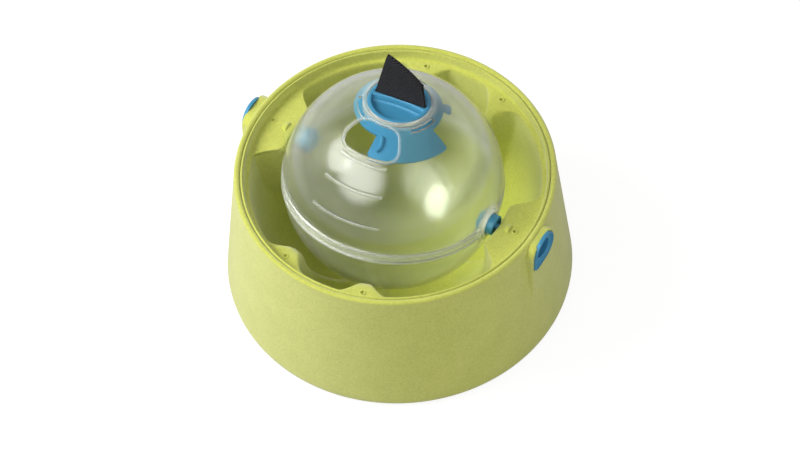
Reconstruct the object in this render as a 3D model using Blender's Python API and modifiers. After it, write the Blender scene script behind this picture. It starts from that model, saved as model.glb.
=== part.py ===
# Tumbling treat feeder for dogs: a clear ball on two pull-out axle plugs in a double-walled bowl.
# Metres, +Z up. The origin is on the ground under the bowl's centre, and the axle runs along X.
# The ball's pieces are modelled round its own centre with the filling neck on +Z, then leaned.

import bpy
import bmesh
from math import asin, atan2, cos, hypot, pi, radians, sin, sqrt
from mathutils import Matrix, Vector

# Running gap between pieces that touch, and how far a cutter runs past what it cuts
GAP = 0.0003
OVERRUN = 0.004
# Wider gap for pieces that lie along the ball's faceted inner face
SHELL_GAP = 0.0008

# Ball
BALL_RADIUS = 0.0791
BALL_WALL = 0.0022
BALL_DRIFT = 0.002          # end play taken up towards -X
BALL_LEAN = radians(9.7)    # the neck leans towards +Y about the axle
SEAM_DROP = 0.0028          # the dome's skirt ends below the equator
SEAM_LAP = 0.0026
RIM_BEAD = 0.0007

# Filling neck and cap
COLLAR_RADIUS = 0.0251
COLLAR_WALL = 0.0025
COLLAR_RISE = 0.0026        # over the sphere at the collar's outer edge
CAP_SEAT_DEPTH = 0.003
NECK_WALL = 0.0027
NECK_DEPTH = 0.0111
CAP_FLOOR = 0.0016
CAP_SKIRT_WALL = 0.0018
CAP_SKIRT_DROP = 0.0005
CAP_RIB = 0.0064
CAP_RIB_SHIFT = 0.0025      # the rib and its slot lie behind the cap's middle
CAP_RIB_BOW = 0.0022
CAP_RECESS_DEPTH = 0.0045
CAP_EDGE = 0.003
CAP_TWIST = radians(7)

# Dispensing opening, its lip, the level ribs and the snap windows, by latitude and longitude
OPENING_LAT = (radians(53.0), radians(70.8))
OPENING_LON = (radians(-118.8), radians(-59.8))
OPENING_CORNERS = (0.008, 0.0085, 0.0112, 0.0085)
LIP_RADIUS = 0.0013
LIP_SHARE = 0.65            # of the lip's radius that lies outside the opening's edge
RIB_LATS = (radians(49.0), radians(34.8), radians(18.0))
RIB_LON = (radians(-108), radians(-68))
RIB_RADIUS = 0.0011
WINDOW_LONS = (radians(-141), radians(-21), radians(99))
WINDOW_SPAN = radians(42)
WINDOW_INNER = 0.0008       # from the collar's foot to the window
WINDOW_WIDTH = 0.0028
HOOK_REACH = 0.0034
HOOK_HEIGHT = 0.0018

# Shutter
SHUTTER_WALL = 0.0022
SHUTTER_HUB_REACH = 0.0097  # from the neck tube to the hub's edge
SHUTTER_LAT = radians(53.2)
SHUTTER_LON = (radians(-88), radians(-10.5))
NUB_LATS = (radians(65.6), radians(63.8), radians(61.4), radians(59.2), radians(57.5))
NUB_LONS = (radians(-80.5), radians(-78.8), radians(-78.2), radians(-79.2), radians(-81.3))
NUB_RADIUS = 0.0014
LUG_LON = radians(35)
LUG_SPAN = radians(11)
LUG_REACH = 0.0055

# Axle
HUB_RADIUS = 0.008
HUB_PLAY = 0.0012           # from a hub's face to its bridge
HUB_LENGTH = 0.0165
HUB_FLANGE = 0.0022
HUB_FLANGE_WALL = 0.0018
PIN_RADIUS = 0.002
PIN_ENGAGEMENT = 0.0129
HUB_RING = 0.0026
HUB_RING_RISE = 0.0008

# Bowl
BOWL_WALL = 0.0028
SWEEP_CLEARANCE = 0.0045    # under the neck as the ball tumbles
FLOOR_HEIGHT = 0.0152
RIM_OVER_AXLE = 0.0118
LEDGE_OVER_AXLE = 0.0036
BRIDGE_GAP = 0.005          # from the ball to a bridge's inner face
BRIDGE_LENGTH = 0.0209
LEDGE_WIDTH = 0.0025
RIM_BEAD_RADIUS = 0.0022    # of the outer shell's rounded rim
TRAY_DROP = 0.0006          # the tray's edge lies lower than the rim
SHELF_REACH = 0.002         # how far the outer shell's shelf reaches under the tray's ledge
BASE_SPREAD = 0.0123
BASE_FILLET = 0.0045
BUMP_ANGLE = radians(72)
BUMP_HALF_ANGLE = radians(5)
BRIDGE_HALF_ANGLE = radians(13)
EDGE_ANGLE = radians(2.8)
LARGEST_STEP = radians(10)

# Axle boss and plug
BOSS_HALF_WIDTH = 0.0155
BOSS_STAND = 0.0058         # the flat face outside the rim's radius
BOSS_TOP_DROP = 0.0012      # below the rim
BOSS_CORNER = 0.009
BOSS_FOOT_SHARE = 0.42
HEAD_RADIUS = 0.0128
HEAD_TIP = 0.0172
HEAD_WALL = 0.0026
HEAD_STAND = 0.0014
RECESS_GAP = 0.0005
BARREL_RADIUS = 0.009
BARREL_WALL = 0.0016
BARREL_END = 0.0014         # from the boss's inner face to the barrel's closed end
HEAD_RIM = 0.0015
SCOOP_DEPTH = 0.001

# Underside
BASE_PLATE = 0.0026
FOOT_RADIUS = 0.009
FOOT_HEIGHT = 0.0014
FOOT_ANGLE = radians(45)
PILLAR_RADIUS = 0.004
PILOT_DEPTH = 0.012
SCREW_RADIUS = 0.0013
SCREW_HEAD_RADIUS = 0.0028
SCREW_HEAD_HEIGHT = 0.0014
LAND_MARK_INSET = 0.0042    # from the pocket's edge to a pillar's centre

# Webbing tab
STRAP_INSET = 0.0009        # from the neck tube's inner wall to a strap edge
STRAP_THICK = 0.0013
STRAP_LEAF_GAP = 0.0005
STRAP_HEIGHT = 0.0355       # of its tall edge above the cap
STRAP_TOP_SHARES = ((0.0, 1.0), (0.17, 0.95), (0.34, 0.885), (0.51, 0.805), (0.68, 0.72), (0.84, 0.62), (1.0, 0.51))
STRAP_LEAN_SHARES = (0.181, -0.097)    # how far the tall and the short edge draw in, of the width
STRAP_BEND = 0.0019
ANCHOR_RADIUS = 0.0016
ANCHOR_DROP = 0.0013

# Worked out from the sizes above
INNER_RADIUS = BALL_RADIUS - BALL_WALL
COLLAR_FOOT = sqrt(BALL_RADIUS**2 - COLLAR_RADIUS**2)
COLLAR_TOP = COLLAR_FOOT + COLLAR_RISE
SEAT_RADIUS = COLLAR_RADIUS - COLLAR_WALL
SEAT_HEIGHT = COLLAR_TOP - CAP_SEAT_DEPTH
NECK_INNER = SEAT_RADIUS - NECK_WALL
NECK_OUTER = SEAT_RADIUS - GAP
NECK_END = COLLAR_TOP - NECK_DEPTH
SWEEP_RADIUS = hypot(COLLAR_RADIUS, COLLAR_TOP) + SWEEP_CLEARANCE
AXLE_HEIGHT = FLOOR_HEIGHT + SWEEP_RADIUS
BOWL_HEIGHT = AXLE_HEIGHT + RIM_OVER_AXLE
LEDGE_HEIGHT = AXLE_HEIGHT + LEDGE_OVER_AXLE
BRIDGE_RADIUS = BALL_RADIUS + BRIDGE_GAP
POCKET_RADIUS = BRIDGE_RADIUS + BRIDGE_LENGTH
TRAY_INNER = POCKET_RADIUS + LEDGE_WIDTH
TRAY_RADIUS = TRAY_INNER + BOWL_WALL
RIM_INNER = TRAY_RADIUS + GAP
RIM_RADIUS = RIM_INNER + 2 * RIM_BEAD_RADIUS
SHELF_HEIGHT = LEDGE_HEIGHT - BOWL_WALL - GAP
BASE_RADIUS = RIM_RADIUS + BASE_SPREAD
SHELL_FOOT = FOOT_HEIGHT - GAP
PLATE_BOTTOM = FOOT_HEIGHT + GAP
PLATE_TOP = PLATE_BOTTOM + BASE_PLATE
BOSS_FACE = RIM_RADIUS + BOSS_STAND
HUB_FACE = BRIDGE_RADIUS - HUB_PLAY
STRAP_WIDTH = 2 * (NECK_INNER - STRAP_INSET)
LAND_MARK_RADIUS = POCKET_RADIUS - LAND_MARK_INSET

# Sections of the tray, from the ledge's inner edge to the floor, as shares of the named radius
# and of the height from the floor to the ledge
POCKET_SHARES = ((0.997, 0.997), (0.990, 0.985), (0.985, 0.955), (0.977, 0.83), (0.962, 0.66),
                 (0.930, 0.47), (0.865, 0.285), (0.760, 0.155), (0.610, 0.070), (0.420, 0.022), (0.210, 0.003))
BUMP_SHARES = ((0.965, 1.0), (0.920, 1.0), (0.885, 0.985), (0.862, 0.945), (0.850, 0.84),
               (0.842, 0.68), (0.815, 0.49), (0.740, 0.28), (0.610, 0.085), (0.420, 0.022), (0.210, 0.003))
BRIDGE_SHARES = ((1.190, 1.0), (1.100, 1.0), (1.035, 1.0), (1.010, 0.985), (1.0, 0.94),
                 (0.998, 0.80), (0.985, 0.62), (0.930, 0.40), (0.780, 0.16), (0.524, 0.022), (0.262, 0.003))
# How far the edge of a bridge or a bump spreads beyond its half angle at those sections
SPREAD_SHARES = (2.6, 1.6, 0.8, 0.3, 0.1, 0.0, 0.0, 0.0, 0.0, 0.0, 0.0)

ROUND_STEPS = 48
SMALL_STEPS = 20
ARC_STEP = radians(10)

parts = None
cutters = None


def clear_scene():
    for item in list(bpy.data.objects):
        bpy.data.objects.remove(item, do_unlink=True)


def make_collections():
    global parts, cutters
    parts = bpy.data.collections.new("tumbling_treat_feeder")
    cutters = bpy.data.collections.new("cutters")
    bpy.context.scene.collection.children.link(parts)
    bpy.context.scene.collection.children.link(cutters)


def plastic(name, colour, roughness, alpha=1.0):
    material = bpy.data.materials.new(name)
    material.use_nodes = True
    shader = material.node_tree.nodes["Principled BSDF"]
    shader.inputs["Base Color"].default_value = (*colour, 1.0)
    shader.inputs["Roughness"].default_value = roughness
    shader.inputs["Metallic"].default_value = 0.0
    shader.inputs["Alpha"].default_value = alpha
    material.diffuse_color = (*colour, alpha)
    return material


def steel(name):
    material = plastic(name, (0.55, 0.56, 0.58), 0.35)
    material.node_tree.nodes["Principled BSDF"].inputs["Metallic"].default_value = 1.0
    return material


def add_object(name, mesh, material, parent=None):
    item = bpy.data.objects.new(name, mesh)
    parts.objects.link(item)
    item.data.materials.clear()
    item.data.materials.append(material)
    item.parent = parent
    return item


def add_cutter(name, mesh, parent=None):
    item = bpy.data.objects.new(name, mesh)
    cutters.objects.link(item)
    item.hide_render = True
    item.display_type = "WIRE"
    item.parent = parent
    return item


def add_empty(name, location, rotation=(0, 0, 0), parent=None):
    empty = bpy.data.objects.new(name, None)
    parts.objects.link(empty)
    empty.location = location
    empty.rotation_euler = rotation
    empty.parent = parent
    return empty


def combine(item, cutter, operation):
    modifier = item.modifiers.new(cutter.name, "BOOLEAN")
    modifier.operation = operation
    modifier.solver = "EXACT"
    modifier.object = cutter


def cut(item, cutter):
    combine(item, cutter, "DIFFERENCE")


def join(item, cutter):
    combine(item, cutter, "UNION")


def smooth(mesh, sharp=radians(35)):
    mesh.shade_smooth()
    mesh.set_sharp_from_angle(angle=sharp)


def screw(item, steps):
    modifier = item.modifiers.new("Turn", "SCREW")
    modifier.axis = "Z"
    modifier.angle = 2 * pi
    modifier.steps = steps
    modifier.render_steps = steps
    modifier.use_merge_vertices = True
    modifier.merge_threshold = 0.00001
    modifier.use_smooth_shade = True


def profile_mesh(name, points, closed=True):
    mesh = bpy.data.meshes.new(name)
    builder = bmesh.new()
    rims = [builder.verts.new((radius, 0, height)) for radius, height in points]
    for first, second in zip(rims, rims[1:]):
        builder.edges.new((first, second))
    if closed:
        builder.edges.new((rims[-1], rims[0]))
    builder.to_mesh(mesh)
    builder.free()
    return mesh


def turned(name, points, material=None, parent=None, steps=ROUND_STEPS, closed=True):
    mesh = profile_mesh(name, points, closed)
    item = add_object(name, mesh, material, parent) if material else add_cutter(name, mesh, parent)
    screw(item, steps)
    return item


def turned_sector(name, points, start, span, steps):
    # A filled section spun through part of a turn, closed at both ends
    mesh = bpy.data.meshes.new(name)
    builder = bmesh.new()
    rims = [builder.verts.new((radius, 0, height)) for radius, height in points]
    face = builder.faces.new(rims)
    bmesh.ops.spin(builder, geom=[face, *rims, *face.edges], axis=(0, 0, 1), cent=(0, 0, 0),
                   angle=span, steps=steps, use_duplicate=False)
    bmesh.ops.recalc_face_normals(builder, faces=builder.faces)
    bmesh.ops.rotate(builder, verts=builder.verts, cent=(0, 0, 0), matrix=Matrix.Rotation(start, 3, "Z"))
    builder.to_mesh(mesh)
    builder.free()
    return mesh


def cylinder_mesh(name, radius, start, end, axis="Z", steps=SMALL_STEPS):
    mesh = bpy.data.meshes.new(name)
    builder = bmesh.new()
    bmesh.ops.create_cone(builder, cap_ends=True, segments=steps, radius1=radius, radius2=radius, depth=end - start)
    bmesh.ops.translate(builder, verts=builder.verts, vec=(0, 0, (start + end) / 2))
    if axis == "X":
        bmesh.ops.rotate(builder, verts=builder.verts, cent=(0, 0, 0), matrix=Matrix.Rotation(pi / 2, 3, "Y"))
    builder.to_mesh(mesh)
    builder.free()
    smooth(mesh)
    return mesh


def arc(centre, radius, start, end, count):
    steps = [start + (end - start) * index / (count - 1) for index in range(count)]
    return [(centre[0] + radius * cos(angle), centre[1] + radius * sin(angle)) for angle in steps]


def sphere_arc(radius, first_lat, last_lat, step=ARC_STEP):
    count = max(2, round(abs(last_lat - first_lat) / step) + 1)
    return arc((0, 0), radius, first_lat, last_lat, count)


def on_sphere(radius, lat, lon):
    return Vector((radius * cos(lat) * cos(lon), radius * cos(lat) * sin(lon), radius * sin(lat)))


def solid_from_curve(name, curve, matrix):
    # A curve's solid as a welded mesh, so that it can be joined or cut
    holder = bpy.data.objects.new(name, curve)
    cutters.objects.link(holder)
    holder.matrix_world = matrix
    bpy.context.view_layer.update()
    evaluated = holder.evaluated_get(bpy.context.evaluated_depsgraph_get())
    mesh = bpy.data.meshes.new_from_object(evaluated)
    mesh.transform(matrix)
    builder = bmesh.new()
    builder.from_mesh(mesh)
    bmesh.ops.remove_doubles(builder, verts=builder.verts, dist=0.00001)
    bmesh.ops.recalc_face_normals(builder, faces=builder.faces)
    builder.to_mesh(mesh)
    builder.free()
    bpy.data.objects.remove(holder, do_unlink=True)
    mesh.name = name
    return mesh


def plate_mesh(name, outline, low, high, matrix=None):
    # A flat outline in XY made a plate from height low to high, then placed by the matrix
    curve = bpy.data.curves.new(name, "CURVE")
    curve.dimensions = "2D"
    curve.fill_mode = "BOTH"
    curve.extrude = (high - low) / 2
    spline = curve.splines.new("POLY")
    spline.points.add(len(outline) - 1)
    spline.use_cyclic_u = True
    for point, place in zip(spline.points, outline):
        point.co = (place[0], place[1], 0, 1)
    shift = Matrix.Translation((0, 0, (low + high) / 2))
    return solid_from_curve(name, curve, (matrix or Matrix.Identity(4)) @ shift)


def rod_mesh(name, path, radius, closed=False, sides=1):
    curve = bpy.data.curves.new(name, "CURVE")
    curve.dimensions = "3D"
    curve.bevel_depth = radius
    curve.bevel_resolution = sides
    curve.use_fill_caps = not closed
    spline = curve.splines.new("POLY")
    spline.points.add(len(path) - 1)
    spline.use_cyclic_u = closed
    for point, place in zip(spline.points, path):
        point.co = (*place, 1)
    return solid_from_curve(name, curve, Matrix.Identity(4))


def bevel(item, width, segments=2, angle=radians(40)):
    modifier = item.modifiers.new("Edge", "BEVEL")
    modifier.width = width
    modifier.segments = segments
    modifier.limit_method = "ANGLE"
    modifier.angle_limit = angle


def side_frame(sign):
    # Local Z points out of the bowl along the axle, local Y is up
    out = Vector((sign, 0, 0))
    up = Vector((0, 0, 1))
    across = up.cross(out)
    frame = Matrix((across, up, out)).transposed().to_4x4()
    frame.translation = Vector((0, 0, AXLE_HEIGHT))
    return frame


def eased(share):
    share = min(1.0, max(0.0, share))
    return share * share * (3 - 2 * share)


def fold(angle):
    # The tray repeats by quarters: the angle from the axle's line, 0 to a right angle
    turn = abs((angle + pi) % (2 * pi) - pi)
    return min(turn, pi - turn)


def shell_section():
    # Closed section of the outer shell: foot, cone, rounded rim, and the shelf that carries the tray
    centre = (BASE_RADIUS - BASE_FILLET, SHELL_FOOT + BASE_FILLET)
    points = arc(centre, BASE_FILLET, radians(-80), 0, 3)
    bead = (RIM_RADIUS - RIM_BEAD_RADIUS, BOWL_HEIGHT - RIM_BEAD_RADIUS)
    points += arc(bead, RIM_BEAD_RADIUS, 0, pi, 5)
    shelf = TRAY_RADIUS - SHELF_REACH
    haunch = SHELF_HEIGHT - 2 * BOWL_WALL
    slope = (BASE_RADIUS - RIM_RADIUS) / (bead[1] - centre[1])
    points += [(RIM_INNER, SHELF_HEIGHT), (shelf, SHELF_HEIGHT), (shelf, SHELF_HEIGHT - BOWL_WALL / 2),
               (RIM_RADIUS + (bead[1] - haunch) * slope - BOWL_WALL, haunch)]
    return points + arc(centre, BASE_FILLET - BOWL_WALL, 0, radians(-80), 3)


def tray_section(angle):
    # Sheet from the tray's top edge over its ledge to the floor, at one azimuth
    points = [(TRAY_INNER, BOWL_HEIGHT - TRAY_DROP), (TRAY_INNER, LEDGE_HEIGHT + LEDGE_WIDTH * 0.3),
              (TRAY_INNER - LEDGE_WIDTH * 0.3, LEDGE_HEIGHT)]
    turn = fold(angle)
    drop = LEDGE_HEIGHT - FLOOR_HEIGHT
    rows = zip(POCKET_SHARES, BUMP_SHARES, BRIDGE_SHARES, SPREAD_SHARES)
    for pocket, bump, bridge, spread in rows:
        half_bump = BUMP_HALF_ANGLE + spread * EDGE_ANGLE / 2
        half_bridge = BRIDGE_HALF_ANGLE + spread * EDGE_ANGLE
        near_bump = eased((half_bump + EDGE_ANGLE - abs(turn - BUMP_ANGLE)) / (2 * EDGE_ANGLE))
        near_bridge = eased((half_bridge + EDGE_ANGLE - turn) / (2 * EDGE_ANGLE))
        radius = POCKET_RADIUS * pocket[0]
        height = pocket[1]
        radius += near_bump * (POCKET_RADIUS * bump[0] - radius)
        height += near_bump * (bump[1] - height)
        radius += near_bridge * (BRIDGE_RADIUS * bridge[0] - radius)
        height += near_bridge * (bridge[1] - height)
        points.append((radius, FLOOR_HEIGHT + drop * height))
    return points


def tray_angles():
    # Close steps over the edges of bridges and bumps, wide ones between them
    marks = [0.0, BUMP_ANGLE, pi / 2]
    for edge in (BRIDGE_HALF_ANGLE, BUMP_ANGLE - BUMP_HALF_ANGLE, BUMP_ANGLE + BUMP_HALF_ANGLE):
        marks += [edge - EDGE_ANGLE, edge, edge + EDGE_ANGLE]
    marks.append(BRIDGE_HALF_ANGLE + 2.6 * EDGE_ANGLE)
    marks.sort()
    quarter = []
    for first, second in zip(marks, marks[1:]):
        count = max(1, int((second - first) / LARGEST_STEP) + 1)
        quarter += [first + (second - first) * index / count for index in range(count)]
    half = quarter + [pi - angle for angle in reversed(quarter[1:])]
    half.insert(len(quarter), pi / 2)
    return half + [angle + pi for angle in half]


def shell_mesh():
    mesh = bpy.data.meshes.new("outer_shell")
    builder = bmesh.new()
    section = shell_section()
    rings = [[builder.verts.new((r * cos(angle), r * sin(angle), z)) for r, z in section] for angle in tray_angles()]
    for ring, following in zip(rings, rings[1:] + rings[:1]):
        for index in range(len(ring)):
            above = (index + 1) % len(ring)
            builder.faces.new((ring[index], following[index], following[above], ring[above]))
    bmesh.ops.recalc_face_normals(builder, faces=builder.faces)
    builder.to_mesh(mesh)
    builder.free()
    smooth(mesh)
    return mesh


def tray_sheet():
    mesh = bpy.data.meshes.new("tray_sheet")
    builder = bmesh.new()
    rings = []
    for angle in tray_angles():
        section = tray_section(angle)
        rings.append([builder.verts.new((r * cos(angle), r * sin(angle), z)) for r, z in section])
    pole = builder.verts.new((0, 0, FLOOR_HEIGHT))
    for ring, following in zip(rings, rings[1:] + rings[:1]):
        for index in range(len(ring) - 1):
            builder.faces.new((ring[index], following[index], following[index + 1], ring[index + 1]))
        builder.faces.new((ring[-1], following[-1], pole))
    builder.to_mesh(mesh)
    builder.free()
    mesh.shade_smooth()
    return mesh


def boss_outline(grow=0.0):
    # The flat pad round a plug, in the side frame: rounded above, running down into the cone
    half = BOSS_HALF_WIDTH + grow
    top = BOWL_HEIGHT - BOSS_TOP_DROP - AXLE_HEIGHT
    foot = BOWL_HEIGHT * BOSS_FOOT_SHARE - AXLE_HEIGHT
    corner = BOSS_CORNER
    points = [(-half, foot), (half, foot)]
    points += arc((half - corner, top - corner), corner, 0, pi / 2, 5)
    points += arc((corner - half, top - corner), corner, pi / 2, pi, 5)
    return points


def head_outline(grow=0.0):
    # A round head drawn out to a finger tip, down and to one side
    radius = HEAD_RADIUS + grow
    tip = HEAD_TIP + grow
    tip_angle = radians(-135)
    swing = pi / 2 - asin(min(1.0, HEAD_RADIUS / HEAD_TIP) * 0.9)
    start = tip_angle + swing
    points = [(radius * cos(a), radius * sin(a)) for a in
              [start + (2 * pi - 2 * swing) * index / 20 for index in range(21)]]
    corner = tip * 0.97
    points += [(corner * cos(tip_angle + side), corner * sin(tip_angle + side)) for side in (-0.12, 0.0, 0.12)]
    return points


def pillar_places():
    angles = [0.0, BUMP_ANGLE, pi - BUMP_ANGLE, pi, pi + BUMP_ANGLE, -BUMP_ANGLE]
    return [(LAND_MARK_RADIUS * cos(angle), LAND_MARK_RADIUS * sin(angle)) for angle in angles]


def make_bowl(green):
    shell = add_object("outer_shell", shell_mesh(), green)
    tray = add_object("inner_tray", tray_sheet(), green)
    wall = tray.modifiers.new("Wall", "SOLIDIFY")
    wall.thickness = BOWL_WALL
    wall.offset = -1.0
    wall.use_even_offset = True
    wall.use_quality_normals = True
    for sign, side in ((1, "right"), (-1, "left")):
        frame = side_frame(sign)
        boss = plate_mesh(f"boss_{side}", boss_outline(), RIM_INNER, BOSS_FACE, frame)
        join(shell, add_cutter(f"boss_{side}", boss))
    for index, (x, y) in enumerate(pillar_places()):
        reach = (PLATE_TOP + GAP, LEDGE_HEIGHT - BOWL_WALL / 3)
        pillar = add_cutter(f"pillar_{index + 1}", cylinder_mesh("pillar", PILLAR_RADIUS, *reach, steps=12))
        pillar.location = (x, y, 0)
        join(tray, pillar)
        reach = (PLATE_TOP - OVERRUN, PLATE_TOP + PILOT_DEPTH)
        pilot = add_cutter(f"pilot_{index + 1}", cylinder_mesh("pilot", SCREW_RADIUS + GAP, *reach, steps=12))
        pilot.location = (x, y, 0)
        cut(tray, pilot)
    for sign, side in ((1, "right"), (-1, "left")):
        frame = side_frame(sign)
        floor = BOSS_FACE - HEAD_WALL + HEAD_STAND - GAP
        recess = plate_mesh(f"recess_{side}", head_outline(RECESS_GAP), floor, BOSS_FACE + OVERRUN, frame)
        cut(shell, add_cutter(f"recess_{side}", recess))
        bore = cylinder_mesh("bore", BARREL_RADIUS + GAP, barrel_end() - GAP, BOSS_FACE + OVERRUN, steps=SMALL_STEPS)
        bore_cutter = add_cutter(f"bore_{side}", bore)
        bore_cutter.matrix_world = frame
        cut(shell, bore_cutter)
        way = cylinder_mesh("pin_way", PIN_RADIUS + GAP, BRIDGE_RADIUS - OVERRUN, BOSS_FACE, steps=14)
        way_cutter = add_cutter(f"pin_way_{side}", way)
        way_cutter.matrix_world = frame
        cut(shell, way_cutter)
        cut(tray, way_cutter)


def barrel_end():
    return RIM_INNER + BARREL_END


def make_base(green, rubber, screw_steel):
    outer = BASE_RADIUS - BASE_FILLET - BOWL_WALL / 2
    plate = add_object("base_plate", cylinder_mesh("base_plate", outer, PLATE_BOTTOM, PLATE_TOP, steps=ROUND_STEPS), green)
    head_floor = PLATE_BOTTOM + SCREW_HEAD_HEIGHT + GAP
    for index, (x, y) in enumerate(pillar_places()):
        wells = ((SCREW_RADIUS + GAP, head_floor - OVERRUN, PLATE_TOP + OVERRUN),
                 (SCREW_HEAD_RADIUS + GAP, PLATE_BOTTOM - OVERRUN, head_floor))
        for step, (radius, low, high) in enumerate(wells):
            well = add_cutter(f"screw_well_{index + 1}_{step + 1}", cylinder_mesh("well", radius, low, high, steps=16))
            well.location = (x, y, 0)
            cut(plate, well)
        item = add_object(f"base_screw_{index + 1}", screw_mesh(head_floor), screw_steel)
        item.location = (x, y, 0)
    foot_mesh = cylinder_mesh("foot", FOOT_RADIUS, 0, FOOT_HEIGHT, steps=16)
    for index in range(4):
        angle = FOOT_ANGLE + index * pi / 2
        foot = add_object(f"rubber_foot_{index + 1}", foot_mesh.copy(), rubber)
        foot.location = (LAND_MARK_RADIUS * cos(angle), LAND_MARK_RADIUS * sin(angle), 0)


def screw_mesh(head_floor):
    low = head_floor - GAP - SCREW_HEAD_HEIGHT
    tip = PLATE_TOP + PILOT_DEPTH * 0.85
    points = [(0, tip), (SCREW_RADIUS, tip - SCREW_RADIUS), (SCREW_RADIUS, head_floor - GAP),
              (SCREW_HEAD_RADIUS, head_floor - GAP), (SCREW_HEAD_RADIUS, low + SCREW_HEAD_HEIGHT / 2),
              (SCREW_HEAD_RADIUS * 0.8, low), (0, low)]
    holder = bpy.data.objects.new("screw", profile_mesh("screw", points, closed=False))
    cutters.objects.link(holder)
    screw(holder, 12)
    mesh = bpy.data.meshes.new_from_object(holder.evaluated_get(bpy.context.evaluated_depsgraph_get()))
    bpy.data.objects.remove(holder, do_unlink=True)
    return mesh


def make_plugs(blue):
    for sign, side in ((1, "right"), (-1, "left")):
        axis = add_empty(f"plug_{side}_axis", (0, 0, AXLE_HEIGHT))
        frame = Matrix.Translation((0, 0, -AXLE_HEIGHT)) @ side_frame(sign)
        back = BOSS_FACE - HEAD_WALL + HEAD_STAND
        front = BOSS_FACE + HEAD_STAND
        head = plate_mesh(f"plug_head_{side}", head_outline(), back, front, frame)
        plug = add_object(f"axle_plug_{side}", head, blue, axis)
        bevel(plug, HEAD_STAND / 2, 2)
        bodies = (("barrel", BARREL_RADIUS, barrel_end(), back + HEAD_WALL / 2, SMALL_STEPS),
                  ("pin", PIN_RADIUS, HUB_FACE - PIN_ENGAGEMENT, barrel_end() + BARREL_WALL, 16))
        for name, radius, low, high, steps in bodies:
            body = add_cutter(f"plug_{name}_{side}", cylinder_mesh(name, radius, low, high, steps=steps), axis)
            body.matrix_local = frame
            join(plug, body)
        hollow = cylinder_mesh("hollow", BARREL_RADIUS - BARREL_WALL, barrel_end() + BARREL_WALL, front + OVERRUN)
        hollow_cutter = add_cutter(f"plug_hollow_{side}", hollow, axis)
        hollow_cutter.matrix_local = frame
        cut(plug, hollow_cutter)
        scoop = plate_mesh(f"plug_scoop_{side}", head_outline(-HEAD_RIM), front - SCOOP_DEPTH, front + OVERRUN, frame)
        cut(plug, add_cutter(f"plug_scoop_{side}", scoop, axis))


def dome_profile():
    # Closed section of the upper half, down its outer side and up its inner side
    skirt_lat = -asin(SEAM_DROP / BALL_RADIUS)
    foot_lat = atan2(COLLAR_FOOT, COLLAR_RADIUS)
    points = [(SEAT_RADIUS, COLLAR_TOP), (COLLAR_RADIUS - COLLAR_WALL / 4, COLLAR_TOP),
              (COLLAR_RADIUS, COLLAR_TOP - COLLAR_WALL / 4)]
    points += sphere_arc(BALL_RADIUS, foot_lat, radians(6))
    points.append((BALL_RADIUS + RIM_BEAD, SEAM_DROP))
    points.append((BALL_RADIUS + RIM_BEAD, -SEAM_DROP))
    lap = BALL_RADIUS - BALL_WALL / 2
    points.append((lap + GAP / 2, -SEAM_DROP))
    points.append((lap + GAP / 2, SEAM_LAP))
    points.append((INNER_RADIUS, SEAM_LAP))
    points += sphere_arc(INNER_RADIUS, radians(9), atan2(sqrt(INNER_RADIUS**2 - NECK_OUTER**2), NECK_OUTER))
    points += [(NECK_OUTER, NECK_END), (NECK_INNER, NECK_END), (NECK_INNER, SEAT_HEIGHT), (SEAT_RADIUS, SEAT_HEIGHT)]
    return points


def lower_profile():
    # Open sheet-like closed section of the lower half, whose poles close on the axis
    lap = BALL_RADIUS - BALL_WALL / 2 - GAP / 2
    points = [(INNER_RADIUS, SEAM_LAP - GAP), (lap, SEAM_LAP - GAP), (lap, -SEAM_DROP - GAP),
              (BALL_RADIUS + RIM_BEAD, -SEAM_DROP - GAP), (BALL_RADIUS + RIM_BEAD, -2 * SEAM_DROP)]
    points += sphere_arc(BALL_RADIUS, radians(-7), -pi / 2)
    points[-1] = (0, -BALL_RADIUS)
    inner = sphere_arc(INNER_RADIUS, -pi / 2, radians(-4))
    inner[0] = (0, -INNER_RADIUS)
    return points + inner


def opening_points(grow, radius):
    # The opening is a band between two latitudes with rounded ends, as points on the sphere
    low, high = OPENING_LAT
    first, last = OPENING_LON
    reach = grow / BALL_RADIUS
    low -= reach
    high += reach
    middle = (low + high) / 2
    first -= reach / cos(middle)
    last += reach / cos(middle)
    places = []
    corners = ((last, high, 1, 1), (first, high, -1, 1), (first, low, -1, -1), (last, low, 1, -1))
    starts = (0, pi / 2, pi, 3 * pi / 2)
    for (lon, lat, side, rise), start, corner in zip(corners, starts, OPENING_CORNERS):
        size = min((corner + grow) / BALL_RADIUS, (high - low) / 2)
        centre_lat = lat - rise * size
        for index in range(6):
            turn = start + pi / 2 * index / 5
            spot_lat = centre_lat + size * sin(turn)
            places.append((spot_lat, lon - side * size / cos(spot_lat) + size * cos(turn) / cos(spot_lat)))
    filled = []
    for place, following in zip(places, places[1:] + places[:1]):
        filled.append(place)
        if abs(following[1] - place[1]) > 2 * ARC_STEP:
            steps = int(abs(following[1] - place[1]) / ARC_STEP)
            for index in range(1, steps):
                share = index / steps
                filled.append((place[0] + share * (following[0] - place[0]),
                               place[1] + share * (following[1] - place[1])))
    return [on_sphere(radius, lat, lon) for lat, lon in filled]


def opening_frame():
    lat = (OPENING_LAT[0] + OPENING_LAT[1]) / 2
    lon = (OPENING_LON[0] + OPENING_LON[1]) / 2
    out = on_sphere(1, lat, lon)
    across = Vector((0, 0, 1)).cross(out).normalized()
    return Matrix((across, out.cross(across), out)).transposed().to_4x4()


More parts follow.
